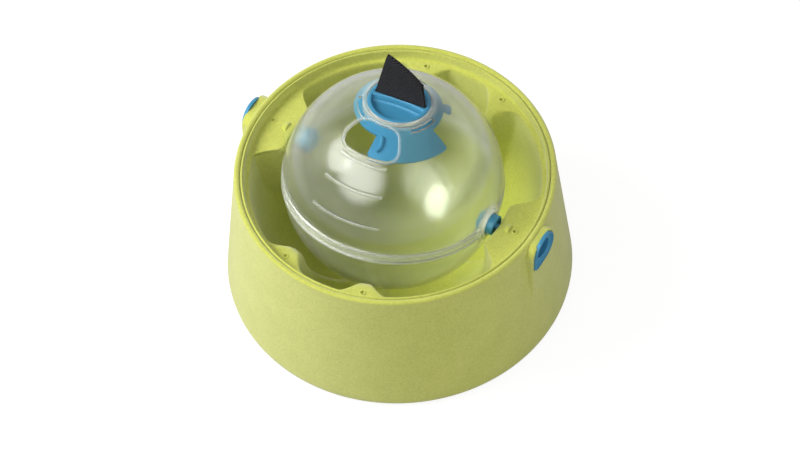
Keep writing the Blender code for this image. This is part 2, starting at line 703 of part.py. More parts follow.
def make_ball(clear, blue, axle):
    dome = turned("upper_dome", dome_profile(), clear, axle)
    lower = turned("lower_dome", lower_profile(), clear, axle, closed=False)
    lower.data = closed_loop(lower.data)
    hole = HUB_RADIUS + GAP
    for sign, side in ((1, "right"), (-1, "left")):
        frame = Matrix.Translation((0, 0, -AXLE_HEIGHT)) @ side_frame(sign)
        start = sqrt(INNER_RADIUS**2 - (HUB_RADIUS + HUB_RING)**2)
        lapped = BALL_RADIUS - BALL_WALL / 2 + GAP
        halves = ((dome, lapped, -SEAM_DROP, BALL_RADIUS), (lower, start, -BALL_RADIUS, -SEAM_DROP - GAP))
        for half, root, low, high in halves:
            ring = cylinder_mesh("hub_ring", HUB_RADIUS + HUB_RING, root, BALL_RADIUS + HUB_RING_RISE)
            piece = add_cutter(f"hub_ring_{side}_{half.name}", half_ring(ring, frame, low, high), axle)
            join(half, piece)
        bore = cylinder_mesh("hub_hole", hole, start - OVERRUN - HUB_LENGTH, BALL_RADIUS + OVERRUN)
        for half in (dome, lower):
            bore_cutter = add_cutter(f"hub_hole_{side}_{half.name}", bore, axle)
            bore_cutter.matrix_local = frame
            cut(half, bore_cutter)
        make_hub(sign, side, frame, blue, axle)
    lip = rod_mesh("opening_lip", opening_points(LIP_RADIUS * LIP_SHARE, BALL_RADIUS), LIP_RADIUS, closed=True)
    join(dome, add_cutter("opening_lip", lip, axle))
    for index, lat in enumerate(RIB_LATS):
        first, last = RIB_LON
        path = [on_sphere(BALL_RADIUS, lat, first + (last - first) * step / 7) for step in range(8)]
        join(dome, add_cutter(f"level_rib_{index + 1}", rod_mesh(f"level_rib_{index + 1}", path, RIB_RADIUS), axle))
    hook_low = hook_height()
    for index, lon in enumerate(WINDOW_LONS):
        start = lon - WINDOW_SPAN / 2
        section = [(NECK_OUTER - NECK_WALL / 2, hook_low), (NECK_OUTER + HOOK_REACH, hook_low),
                   (NECK_OUTER + HOOK_REACH, hook_low + HOOK_HEIGHT / 2),
                   (NECK_OUTER - NECK_WALL / 2, hook_low + HOOK_HEIGHT)]
        hook = turned_sector(f"snap_hook_{index + 1}", section, start, WINDOW_SPAN, 4)
        join(dome, add_cutter(f"snap_hook_{index + 1}", hook, axle))
        inner = COLLAR_RADIUS + WINDOW_INNER
        outer = inner + WINDOW_WIDTH
        low = sqrt(INNER_RADIUS**2 - outer**2) - OVERRUN / 4
        section = [(inner, low), (outer, low), (outer, COLLAR_TOP + OVERRUN), (inner, COLLAR_TOP + OVERRUN)]
        window = turned_sector(f"snap_window_{index + 1}", section, start, WINDOW_SPAN, 4)
        cut(dome, add_cutter(f"snap_window_{index + 1}", window, axle))
    frame = opening_frame()
    flat = [frame.inverted() @ point for point in opening_points(0, BALL_RADIUS)]
    outline = [(point.x, point.y) for point in flat]
    hole_mesh = plate_mesh("opening_cut", outline, INNER_RADIUS * 0.8, BALL_RADIUS + OVERRUN, frame)
    cut(dome, add_cutter("opening_cut", hole_mesh, axle))


def closed_loop(mesh):
    # Joins the inner pole's end of the section to its first point, leaving the poles on the axis
    builder = bmesh.new()
    builder.from_mesh(mesh)
    builder.verts.ensure_lookup_table()
    builder.edges.new((builder.verts[len(builder.verts) - 1], builder.verts[0]))
    poles = sorted(builder.verts, key=lambda vert: vert.co.x)[:2]
    link = [edge for edge in builder.edges if set(edge.verts) == set(poles)]
    bmesh.ops.delete(builder, geom=link, context="EDGES_FACES")
    builder.to_mesh(mesh)
    builder.free()
    return mesh


def half_ring(ring, frame, low, high):
    # The part of a hub's ring that lies on one half of the ball
    mesh = ring.copy()
    mesh.transform(frame)
    builder = bmesh.new()
    builder.from_mesh(mesh)
    for height, normal in ((low, -1), (high, 1)):
        geometry = [*builder.verts, *builder.edges, *builder.faces]
        result = bmesh.ops.bisect_plane(builder, geom=geometry, plane_co=(0, 0, height),
                                        plane_no=(0, 0, normal), clear_outer=True)
        edges = [edge for edge in result["geom_cut"] if isinstance(edge, bmesh.types.BMEdge)]
        if edges:
            bmesh.ops.contextual_create(builder, geom=edges)
    bmesh.ops.recalc_face_normals(builder, faces=builder.faces)
    builder.to_mesh(mesh)
    builder.free()
    return mesh


def hook_height():
    # A hook's low face: its top seats the shutter's hub at the hook's outer edge
    under = INNER_RADIUS - SHELL_GAP - SHUTTER_WALL
    seat = sqrt(under**2 - (NECK_OUTER + HOOK_REACH)**2) - GAP
    return seat - HOOK_HEIGHT


def make_hub(sign, side, frame, blue, axle):
    # A bush that slides in the ball's hole, bored blind for the plug's pin: the ball has drifted along both
    face = HUB_FACE + sign * BALL_DRIFT
    inner_end = face - HUB_LENGTH
    seat = sqrt(INNER_RADIUS**2 - (HUB_RADIUS + HUB_FLANGE)**2) - SHELL_GAP
    flange_face = seat - (1 - sign) * BALL_DRIFT
    bore = PIN_RADIUS + GAP
    points = [(bore, face), (HUB_RADIUS - GAP, face), (HUB_RADIUS, face - GAP),
              (HUB_RADIUS, flange_face), (HUB_RADIUS + HUB_FLANGE, flange_face),
              (HUB_RADIUS + HUB_FLANGE, flange_face - HUB_FLANGE_WALL), (HUB_RADIUS, flange_face - HUB_FLANGE_WALL),
              (HUB_RADIUS, inner_end), (0, inner_end), (0, inner_end + HUB_FLANGE_WALL),
              (bore, inner_end + HUB_FLANGE_WALL)]
    holder = bpy.data.objects.new("hub", profile_mesh("hub", points, closed=False))
    cutters.objects.link(holder)
    holder.data = closed_loop(holder.data)
    screw(holder, SMALL_STEPS)
    mesh = bpy.data.meshes.new_from_object(holder.evaluated_get(bpy.context.evaluated_depsgraph_get()))
    bpy.data.objects.remove(holder, do_unlink=True)
    smooth(mesh)
    hub = add_object(f"axle_hub_{side}", mesh, blue, axle)
    hub.matrix_local = frame


def make_shutter(blue, pole):
    outer = INNER_RADIUS - SHELL_GAP
    inner = outer - SHUTTER_WALL
    bore = NECK_OUTER + GAP
    edge = NECK_OUTER + SHUTTER_HUB_REACH
    top_lat = atan2(sqrt(outer**2 - bore**2), bore)
    edge_lat = atan2(sqrt(outer**2 - edge**2), edge)
    points = sphere_arc(outer, top_lat, edge_lat, ARC_STEP / 2)
    points += sphere_arc(inner, edge_lat, atan2(sqrt(inner**2 - bore**2), bore), ARC_STEP / 2)
    shutter = turned("shutter", points, blue, pole, steps=48)
    inset_lat = edge_lat + radians(3)
    section = sphere_arc(outer, inset_lat, SHUTTER_LAT, ARC_STEP / 2)
    section += sphere_arc(inner, SHUTTER_LAT, inset_lat, ARC_STEP / 2)
    first, last = SHUTTER_LON
    fan = turned_sector("shutter_fan", section, first, last - first, 12)
    join(shutter, add_cutter("shutter_fan", fan, pole))
    lug_lat = atan2(sqrt(outer**2 - (edge + LUG_REACH)**2), edge + LUG_REACH)
    section = sphere_arc(outer, inset_lat, lug_lat, ARC_STEP / 2)
    section += sphere_arc(inner, lug_lat, inset_lat, ARC_STEP / 2)
    lug = turned_sector("shutter_lug", section, LUG_LON - LUG_SPAN / 2, LUG_SPAN, 2)
    join(shutter, add_cutter("shutter_lug", lug, pole))
    path = [on_sphere(outer + NUB_RADIUS / 2, lat, lon) for lat, lon in zip(NUB_LATS, NUB_LONS)]
    join(shutter, add_cutter("shutter_nub", rod_mesh("shutter_nub", path, NUB_RADIUS), pole))


def finger_recess(radius, chord, bow):
    # A round side that follows the cap and a bowed side along the rib
    reach = asin(chord / radius)
    points = arc((0, 0), radius, -pi + reach, -reach, 13)
    half = radius * cos(reach)
    for index in range(1, 8):
        share = 1 - index / 4
        points.append((half * share, -chord + bow * (1 - share * share)))
    return points


def make_cap(blue, pole):
    cap_radius = SEAT_RADIUS - GAP
    top = COLLAR_TOP - GAP
    under = SEAT_HEIGHT + GAP
    skirt = NECK_INNER - GAP
    skirt_end = NECK_END - CAP_SKIRT_DROP
    floor = top - CAP_RECESS_DEPTH - CAP_FLOOR
    points = [(0, top), (cap_radius - CAP_EDGE / 4, top), (cap_radius, top - CAP_EDGE / 4), (cap_radius, under),
              (skirt, under), (skirt, skirt_end), (skirt - CAP_SKIRT_WALL, skirt_end),
              (skirt - CAP_SKIRT_WALL, floor), (0, floor)]
    cap = turned("cap", points, blue, pole, steps=48, closed=False)
    recess_radius = cap_radius - CAP_EDGE
    slot_half = STRAP_WIDTH / 2 + GAP
    slot_thick = STRAP_THICK * 2 + STRAP_LEAF_GAP + 2 * GAP
    for turn, side in ((0, "front"), (pi, "rear")):
        edge = CAP_RIB / 2 + CAP_RIB_BOW / 2 + (CAP_RIB_SHIFT if turn else -CAP_RIB_SHIFT)
        outline = finger_recess(recess_radius, edge, CAP_RIB_BOW)
        place = Matrix.Rotation(turn, 4, "Z")
        recess = plate_mesh(f"cap_recess_{side}", outline, top - CAP_RECESS_DEPTH, top + OVERRUN, place)
        cut(cap, add_cutter(f"cap_recess_{side}", recess, pole))
    outline = shifted_box(slot_half, slot_thick / 2)
    slot = plate_mesh("cap_slot", outline, floor - OVERRUN / 2, top + OVERRUN)
    cut(cap, add_cutter("cap_slot", slot, pole))
    way_half = anchor_ring() + STRAP_THICK / 2 + 3 * GAP
    outline = shifted_box(slot_half, way_half)
    way = plate_mesh("tab_way", outline, skirt_end - OVERRUN, floor + GAP)
    cut(cap, add_cutter("tab_way", way, pole))
    make_strap(pole, top, floor)


def shifted_box(half_length, half_width):
    low = CAP_RIB_SHIFT - half_width
    high = CAP_RIB_SHIFT + half_width
    return [(-half_length, low), (half_length, low), (half_length, high), (-half_length, high)]


def anchor_ring():
    # Radius of the webbing's middle line round its anchor
    return ANCHOR_RADIUS + GAP + STRAP_THICK / 2


def strap_path(top, base, bend, ring, centre):
    # Middle line of the webbing in its thickness plane: round the anchor, up the slot, over the fold
    half = (STRAP_THICK + STRAP_LEAF_GAP) / 2
    side = arc((0, centre), ring, -pi / 2, asin(sqrt(max(0.0, 1 - (half / ring)**2))), 6)
    side += [(half, base), (half, base + (top - base) * 0.45), (bend, top - 2 * bend)]
    side += arc((0, top - bend), bend, 0, pi / 2, 3)
    mirrored = [(-y, z) for y, z in reversed(side[1:-1])]
    return side + mirrored


def make_strap(pole, cap_top, cap_floor):
    ring = anchor_ring()
    centre = cap_floor - ANCHOR_DROP - ring
    mesh = bpy.data.meshes.new("pull_tab")
    builder = bmesh.new()
    rings = []
    usable = STRAP_WIDTH - 2 * GAP
    for share, rise in STRAP_TOP_SHARES:
        top = cap_top + STRAP_HEIGHT * rise
        lean = STRAP_LEAN_SHARES[0] * (1 - share) + STRAP_LEAN_SHARES[1] * share
        row = []
        for y, z in strap_path(top, cap_top + GAP, STRAP_BEND, ring, centre):
            climb = max(0.0, z - cap_top) / (STRAP_HEIGHT * rise)
            x = usable * (share + lean * climb - 1 / 2)
            row.append(builder.verts.new((x, y + CAP_RIB_SHIFT, z)))
        rings.append(row)
    for row, following in zip(rings, rings[1:]):
        for index, vert in enumerate(row):
            after = (index + 1) % len(row)
            builder.faces.new((vert, row[after], following[after], following[index]))
    bmesh.ops.recalc_face_normals(builder, faces=builder.faces)
    builder.to_mesh(mesh)
    builder.free()
    mesh.shade_smooth()
    tab = add_object("pull_tab", mesh, webbing, pole)
    wall = tab.modifiers.new("Thickness", "SOLIDIFY")
    wall.thickness = STRAP_THICK
    wall.offset = 0.0
    bar = cylinder_mesh("tab_anchor", ANCHOR_RADIUS, -NECK_INNER + CAP_SKIRT_WALL + 3 * GAP,
                        NECK_INNER - CAP_SKIRT_WALL - 3 * GAP, axis="X", steps=16)
    bar.transform(Matrix.Translation((0, CAP_RIB_SHIFT, centre)))
    add_object("tab_anchor", bar, pin_steel, pole)


clear_scene()
make_collections()
lime = plastic("lime_plastic", (0.50, 0.58, 0.12), 0.6)
blue_plastic = plastic("blue_plastic", (0.12, 0.42, 0.68), 0.4)
clear_plastic = plastic("clear_plastic", (0.9, 0.93, 0.9), 0.05, alpha=0.3)
foot_rubber = plastic("foot_rubber", (0.05, 0.05, 0.05), 0.8)
webbing = plastic("black_webbing", (0.015, 0.014, 0.014), 0.9)
pin_steel = steel("pin_steel")

make_bowl(lime)
make_base(lime, foot_rubber, pin_steel)
make_plugs(blue_plastic)
ball_axle = add_empty("ball_axle", (-BALL_DRIFT, 0, AXLE_HEIGHT), (-BALL_LEAN, 0, 0))
make_ball(clear_plastic, blue_plastic, ball_axle)
shutter_axis = add_empty("shutter_axis", (0, 0, 0), (0, 0, 0), ball_axle)
make_shutter(blue_plastic, shutter_axis)
cap_axis = add_empty("cap_axis", (0, 0, 0), (0, 0, CAP_TWIST), ball_axle)
make_cap(blue_plastic, cap_axis)
print("axle height", round(AXLE_HEIGHT, 5), "rim radius", round(RIM_RADIUS, 5), "height", round(BOWL_HEIGHT, 5))
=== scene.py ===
# Looks for the tumbling treat feeder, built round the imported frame.
# Shapes are drawn in millimetres; placePiece turns them to metres and puts them where the frame has them.

from math import asin, atan2, cos, hypot, pi, radians, sin, sqrt

import bmesh
import bpy
from mathutils import Matrix, Vector


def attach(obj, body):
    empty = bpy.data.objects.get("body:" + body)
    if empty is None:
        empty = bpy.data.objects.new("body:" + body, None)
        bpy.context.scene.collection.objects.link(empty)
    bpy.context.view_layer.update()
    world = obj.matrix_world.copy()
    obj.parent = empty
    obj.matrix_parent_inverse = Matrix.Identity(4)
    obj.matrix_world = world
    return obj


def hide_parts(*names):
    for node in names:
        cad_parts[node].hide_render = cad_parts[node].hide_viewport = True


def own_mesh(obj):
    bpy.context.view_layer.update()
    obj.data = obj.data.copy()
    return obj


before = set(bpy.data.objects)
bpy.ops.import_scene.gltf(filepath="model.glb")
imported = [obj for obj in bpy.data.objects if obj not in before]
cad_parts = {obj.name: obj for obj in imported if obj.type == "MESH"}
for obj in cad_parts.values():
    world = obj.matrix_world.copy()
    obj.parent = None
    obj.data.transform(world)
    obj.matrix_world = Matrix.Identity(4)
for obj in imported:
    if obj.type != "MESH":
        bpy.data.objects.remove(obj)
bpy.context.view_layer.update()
print("frame loaded:", len(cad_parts), "nodes")

metre = Matrix.Scale(0.001, 4)
white = (1.0, 1.0, 1.0, 1.0)


def srgb(code):
    # sRGB hex to linear colour
    parts = [int(code[i:i + 2], 16) / 255 for i in (0, 2, 4)]
    return tuple(c / 12.92 if c <= 0.04045 else ((c + 0.055) / 1.055) ** 2.4 for c in parts) + (1.0,)


def setInputs(node, links):
    # a link is another node, whose first output is meant, or one socket, or a plain value
    for key, value in links.items():
        if isinstance(value, bpy.types.Node):
            value = value.outputs[0]
        if isinstance(value, bpy.types.NodeSocket):
            node.id_data.links.new(value, node.inputs[key])
        else:
            node.inputs[key].default_value = value


def addNode(tree, kind, links=None, **settings):
    # one node with its settings and links
    node = tree.nodes.new(kind)
    for name, value in settings.items():
        setattr(node, name, value)
    setInputs(node, links or {})
    return node


def newMaterial(name, look):
    # gives the material, its tree, its shader and a noise field for each of the look's scales and details
    material = bpy.data.materials.new(name)
    material.use_nodes = True
    tree = material.node_tree
    shader = tree.nodes["Principled BSDF"]
    setInputs(shader, look["shader"])
    fields = []
    if "noises" in look:
        where = addNode(tree, "ShaderNodeTexCoord").outputs["Object"]
        for scale, detail in look["noises"]:
            links = {"Vector": where, "Scale": scale, "Detail": detail}
            fields.append(addNode(tree, "ShaderNodeTexNoise", links))
    return material, tree, shader, *fields


def linked(name, data):
    item = bpy.data.objects.new(name, data)
    bpy.context.scene.collection.objects.link(item)
    return item


def baked(*items):
    # the first object's mesh with its modifiers applied; the objects are removed
    bpy.context.view_layer.update()
    graph = bpy.context.evaluated_depsgraph_get()
    mesh = bpy.data.meshes.new_from_object(items[0].evaluated_get(graph))
    for item in items:
        bpy.data.objects.remove(item)
    return mesh


def gathered(meshes):
    builder = bmesh.new()
    for mesh in meshes:
        builder.from_mesh(mesh)
    return builder


def asMesh(builder):
    mesh = bpy.data.meshes.new("shape")
    builder.to_mesh(mesh)
    builder.free()
    return mesh


def finishMesh(builder):
    # doubled points welded, loose edges dropped, all faces turned outwards
    bmesh.ops.remove_doubles(builder, verts=builder.verts, dist=0.0005)
    loose = [edge for edge in builder.edges if not edge.link_faces]
    bmesh.ops.delete(builder, geom=loose, context="EDGES")
    bmesh.ops.recalc_face_normals(builder, faces=builder.faces)
    return asMesh(builder)


def loft(rings, ends="capped"):
    # rings of equal length joined one to the next, with the two ends capped, joined to each other or open
    builder = bmesh.new()
    rings = [[builder.verts.new(point) for point in ring] for ring in rings]
    for ring, other in zip(rings, rings[1:] + (rings[:1] if ends == "joined" else [])):
        for i in range(len(ring)):
            j = (i + 1) % len(ring)
            builder.faces.new((ring[i], ring[j], other[j], other[i]))
    if ends == "capped":
        builder.faces.new(rings[0])
        builder.faces.new(rings[-1])
    return finishMesh(builder)


def turn(profile, steps, start=0.0, span=360.0):
    # a closed section turned about Z; part turns get flat ends
    full = span > 359.9
    rings = []
    for step in range(steps if full else steps + 1):
        angle = radians(start + span * step / steps)
        rings.append([(r * cos(angle), r * sin(angle), z) for r, z in profile])
    return loft(rings, "joined" if full else "capped")


def cylinder(radius, low, high, steps, chamfer=0.0):
    # along Z, with a chamfer round its low end
    edge = [(radius - chamfer, low), (radius, low + chamfer)] if chamfer else [(radius, low)]
    return turn([(0, low), *edge, (radius, high), (0, high)], steps)


def rod(path, radius, closed=False, sides=4):
    # a round bar along a path
    curve = bpy.data.curves.new("rod", "CURVE")
    curve.dimensions = "3D"
    curve.bevel_depth = radius
    curve.bevel_resolution = sides
    curve.use_fill_caps = not closed
    spline = curve.splines.new("POLY")
    spline.points.add(len(path) - 1)
    spline.use_cyclic_u = closed
    for point, place in zip(spline.points, path):
        point.co = (*place, 1)
    return finishMesh(gathered([baked(linked("rod", curve))]))


def combine(mesh, tools, operation):
    # a closed mesh joined or cut with other closed meshes that don't touch each other
    body = linked("body", mesh)
    cutter = linked("cutter", asMesh(gathered(tools)))
    modifier = body.modifiers.new("Cut", "BOOLEAN")
    modifier.solver = "EXACT"
    modifier.operation = operation
    modifier.object = cutter
    return baked(body, cutter)


def add(mesh, *tools):
    return combine(mesh, tools, "UNION")


def cut(mesh, *tools):
    return combine(mesh, tools, "DIFFERENCE")


def moved(mesh, matrix):
    copy = mesh.copy()
    copy.transform(matrix)
    return copy


def halfOf(mesh, height, above):
    # the part of a closed mesh above or below a level plane, closed again
    builder = gathered([mesh])
    split = bmesh.ops.bisect_plane(
        builder, geom=[*builder.verts, *builder.edges, *builder.faces], plane_co=(0, 0, height),
        plane_no=(0, 0, -1 if above else 1), clear_outer=True)
    edges = [edge for edge in split["geom_cut"] if isinstance(edge, bmesh.types.BMEdge)]
    bmesh.ops.edgenet_fill(builder, edges=edges)
    return finishMesh(builder)


def placePiece(name, mesh, material, body, nodes=(), place=None, crease=32):
    # finished piece: mesh in metres in the frame, smooth apart from its creases
    mesh.transform(metre @ (place or Matrix.Identity(4)))
    mesh.name = name
    mesh.materials.clear()
    mesh.materials.append(material)
    mesh.polygons.foreach_set("material_index", [0] * len(mesh.polygons))
    mesh.shade_smooth()
    mesh.set_sharp_from_angle(angle=radians(crease))
    item = linked(name, mesh)
    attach(item, body)
    if nodes:
        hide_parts(*nodes)
    return item


def arc(centre, radius, first, last, count):
    angles = [radians(first + (last - first) * i / (count - 1)) for i in range(count)]
    return [(centre[0] + radius * cos(a), centre[1] + radius * sin(a)) for a in angles]


def onSphere(radius, lat, lon):
    lat, lon = radians(lat), radians(lon)
    return Vector((radius * cos(lat) * cos(lon), radius * cos(lat) * sin(lon), radius * sin(lat)))


def eased(share):
    share = min(1.0, max(0.0, share))
    return share * share * (3 - 2 * share)


def smoothRows(rows, per):
    # Catmull-Rom curve through a list of places, per steps between each two
    result = []
    for i in range(len(rows) - 1):
        near = rows[max(i - 1, 0)], rows[i], rows[i + 1], rows[min(i + 2, len(rows) - 1)]
        for step in range(per):
            t = step / per
            result.append(tuple(
                0.5 * (2 * b + (c - a) * t + (2 * a - 5 * b + 4 * c - d) * t * t
                       + (3 * b - a - 3 * c + d) * t ** 3)
                for a, b, c, d in zip(*near)))
    return result + [tuple(rows[-1])]


def around(spots, height):
    # places on a level plane from pairs of radius and azimuth
    return [(r * cos(radians(a)), r * sin(radians(a)), height) for r, a in spots]


def pointSet(places):
    mesh = bpy.data.meshes.new("points")
    mesh.from_pydata(places, [], [])
    return mesh


def setFloats(mesh, name, values):
    mesh.attributes.new(name, "FLOAT", "POINT").data.foreach_set("value", values)


def geometryTree(name, values):
    # a Geometry Nodes tree with one named input for each value: a number, a material or an object
    tree = bpy.data.node_groups.new(name, "GeometryNodeTree")
    for way in ("INPUT", "OUTPUT"):
        tree.interface.new_socket("Geometry", in_out=way, socket_type="NodeSocketGeometry")
    for key, value in values.items():
        kind = "NodeSocket" + type(value).__name__.capitalize()
        socket = tree.interface.new_socket(key, in_out="INPUT", socket_type=kind)
        if isinstance(value, float):
            socket.default_value = value
    return tree, tree.nodes.new("NodeGroupInput").outputs


def runTree(tree, given, geometry, values, points):
    # ends the tree with its finish, sets its inputs by identifier and returns its result as a plain mesh
    real = addNode(tree, "GeometryNodeRealizeInstances", {"Geometry": geometry})
    painted = addNode(tree, "GeometryNodeSetMaterial", {"Geometry": real, "Material": given["Finish"]})
    addNode(tree, "NodeGroupOutput", {"Geometry": painted})
    holder = linked(tree.name, points)
    modifier = holder.modifiers.new(tree.name, "NODES")
    modifier.node_group = tree
    for socket in tree.interface.items_tree:
        if socket.in_out == "INPUT" and socket.name in values:
            modifier[socket.identifier] = values[socket.name]
    return baked(holder)


limeLook = {
    "shader": {"Roughness": 0.6, "IOR": 1.49, "Sheen Weight": 0.5, "Sheen Roughness": 0.65},
    "colour": "CBD04E", "deep": "BEC442", "pale": "D6DA62", "darkest": 0.42, "palest": 0.93,
    "noises": ((50.0, 2.0), (625.0, 3.0)), "cloudShare": 0.35, "grainRough": 0.65, "grainDepth": 0.00008,
}


def makeLime():
    # moulded polypropylene off a spark-eroded mould: an even matt skin with very faint clouds and fine pits,
    # whose grain is drawn about twice as coarse as it is so that it shows
    look = limeLook
    material, tree, shader, cloud, grain = newMaterial("limePolypropylene", look)
    setInputs(grain, {"Roughness": look["grainRough"]})
    faint = addNode(tree, "ShaderNodeMath", {0: cloud, 1: look["cloudShare"]}, operation="MULTIPLY")
    blend = addNode(tree, "ShaderNodeMath", {0: faint, 1: grain}, operation="ADD")
    spread = addNode(tree, "ShaderNodeMapRange", {
        "Value": blend, "From Min": look["darkest"], "From Max": look["palest"]})
    ramp = addNode(tree, "ShaderNodeValToRGB", {"Fac": spread})
    ramp.color_ramp.elements[0].color = srgb(look["deep"])
    ramp.color_ramp.elements[1].color = srgb(look["pale"])
    ramp.color_ramp.elements.new(0.5).color = srgb(look["colour"])
    bump = addNode(tree, "ShaderNodeBump", {"Height": grain, "Distance": look["grainDepth"], "Strength": 0.8})
    setInputs(shader, {"Base Color": ramp, "Normal": bump})
    return material


blueLook = {
    "shader": {"Roughness": 0.38, "IOR": 1.48}, "colour": "4B9AC0", "deep": "4290B6",
    "noises": ((90.0, 3.0), (1250.0, 3.0)), "grainDepth": 0.00003,
}


def makeBlue():
    # moulded acetal, finely sanded mould: satin, slightly darker where it flowed last
    look = blueLook
    material, tree, shader, flow, grain = newMaterial("blueAcetal", look)
    colour = addNode(tree, "ShaderNodeMix", {
        "Factor": flow, "A": srgb(look["colour"]), "B": srgb(look["deep"])}, data_type="RGBA")
    bump = addNode(tree, "ShaderNodeBump", {"Height": grain, "Distance": look["grainDepth"], "Strength": 0.7})
    setInputs(shader, {"Base Color": colour.outputs["Result"], "Normal": bump})
    return material


clearLook = {
    "shader": {"Base Color": srgb("F6F9F0"), "IOR": 1.55}, "noises": ((35.0, 2.0), (220.0, 4.0)),
    # the frost share and the edge haze below whiten the plastic: real milkiness, and also painted highlight
    # and painted reflection
    "roughness": 0.12, "waviness": 0.0001, "clear": 0.985, "frost": 0.45, "frostRough": 0.15,
    "edgeHazeAndReflection": 0.3, "edgePower": 2.4, "shade": (0.74, 0.75, 0.7, 1.0),
}


def makeClear():
    # moulded SAN copolymer, faintly milky from handling: near things show crisp through it, far ones soft.
    # It turns milkier towards its outline as painted reflection of the pale room. The mesh's frost attribute
    # makes seam and collar whiter, as thick worn edges are; on the lip, the ribs and the seam's two edges
    # that whiteness is painted highlight, and round the +X bush it is painted reflection
    look = clearLook
    material, tree, shader, ripple, haze = newMaterial("clearSan", look)
    frost = addNode(tree, "ShaderNodeAttribute", attribute_name="frost").outputs["Fac"]
    rough = addNode(tree, "ShaderNodeMapRange", {
        "Value": haze, "To Min": look["roughness"] * 0.75, "To Max": look["roughness"] * 1.3})
    links = {0: frost, 1: look["frostRough"], 2: rough}
    rough = addNode(tree, "ShaderNodeMath", links, operation="MULTIPLY_ADD")
    # milk grows where the surface turns away from view: painted reflection of the pale room round the ball's
    # outline
    edge = addNode(tree, "ShaderNodeLayerWeight", {"Blend": 0.5}).outputs["Facing"]
    edge = addNode(tree, "ShaderNodeMath", {0: edge, 1: look["edgePower"]}, operation="POWER")
    milk = look["clear"]
    for cause, amount in ((edge, look["edgeHazeAndReflection"]), (frost, look["frost"])):
        milk = addNode(tree, "ShaderNodeMath", {0: cause, 1: -amount, 2: milk}, operation="MULTIPLY_ADD")
    bump = addNode(tree, "ShaderNodeBump", {"Height": ripple, "Distance": look["waviness"], "Strength": 0.5})
    setInputs(shader, {"Roughness": rough, "Transmission Weight": milk, "Normal": bump})
    # lamps reach what is inside the ball
    through = addNode(tree, "ShaderNodeBsdfTransparent", {"Color": look["shade"]})
    path = addNode(tree, "ShaderNodeLightPath")
    mix = addNode(tree, "ShaderNodeMixShader", {0: path.outputs["Is Shadow Ray"], 1: shader, 2: through})
    setInputs(tree.nodes["Material Output"], {"Surface": mix})
    return material


webbingLook = {
    "shader": {"Roughness": 0.75, "Specular IOR Level": 0.2, "Sheen Weight": 0.03, "Sheen Roughness": 0.4},
    # the groove colour is painted shade between the ribs, the crown colour painted highlight on their tops
    "grooveShade": "08080A", "crown": "3C3C3F", "noises": ((1200.0, 3.0),), "ribShare": 0.35,
}


def makeWebbing():
    # woven black polyester: dull ribs across the strap, read from the mesh's yarn attribute; the rib crowns
    # are painted paler as painted highlight and the grooves near black as painted shade, with a faint random
    # fuzz
    look = webbingLook
    material, tree, shader, fuzz = newMaterial("polyesterWebbing", look)
    yarn = addNode(tree, "ShaderNodeAttribute", attribute_name="yarn").outputs["Fac"]
    wave = addNode(tree, "ShaderNodeMath", {0: yarn}, operation="SINE")
    # pale crowns and dark grooves along the yarn's sine: painted highlight and painted shade
    crown = addNode(tree, "ShaderNodeMath", {0: wave, 1: look["ribShare"], 2: fuzz}, operation="MULTIPLY_ADD")
    share = addNode(tree, "ShaderNodeMapRange", {"Value": crown, "From Min": 0.15, "From Max": 0.85})
    colour = addNode(tree, "ShaderNodeMix", {
        "Factor": share, "A": srgb(look["grooveShade"]), "B": srgb(look["crown"])}, data_type="RGBA")
    setInputs(shader, {"Base Color": colour.outputs["Result"]})
    return material


steelLook = {
    "shader": {"Metallic": 1.0, "Base Color": srgb("BFC3C7")}, "noises": ((600.0, 3.0),),
    "smoothest": 0.25, "roughest": 0.45,
}


def makeSteel():
    # zinc-plated steel: bright, slightly cloudy
    look = steelLook
    material, tree, shader, cloud = newMaterial("zincSteel", look)
    rough = addNode(tree, "ShaderNodeMapRange", {
        "Value": cloud, "To Min": look["smoothest"], "To Max": look["roughest"]})
    setInputs(shader, {"Roughness": rough})
    return material


rubberLook = {
    "shader": {"Roughness": 0.82}, "colour": "2A2B2B", "pale": "3A3B3A", "noises": ((400.0, 4.0),)}


def makeRubber():
    # moulded thermoplastic elastomer: dark, soft, no gloss
    look = rubberLook
    material, tree, shader, dust = newMaterial("elastomer", look)
    colour = addNode(tree, "ShaderNodeMix", {
        "Factor": dust, "A": srgb(look["colour"]), "B": srgb(look["pale"])}, data_type="RGBA")
    setInputs(shader, {"Base Color": colour.outputs["Result"]})
    return material


lime, blue, clear = makeLime(), makeBlue(), makeClear()
webbing, steel, rubber = makeWebbing(), makeSteel(), makeRubber()
print("materials made")

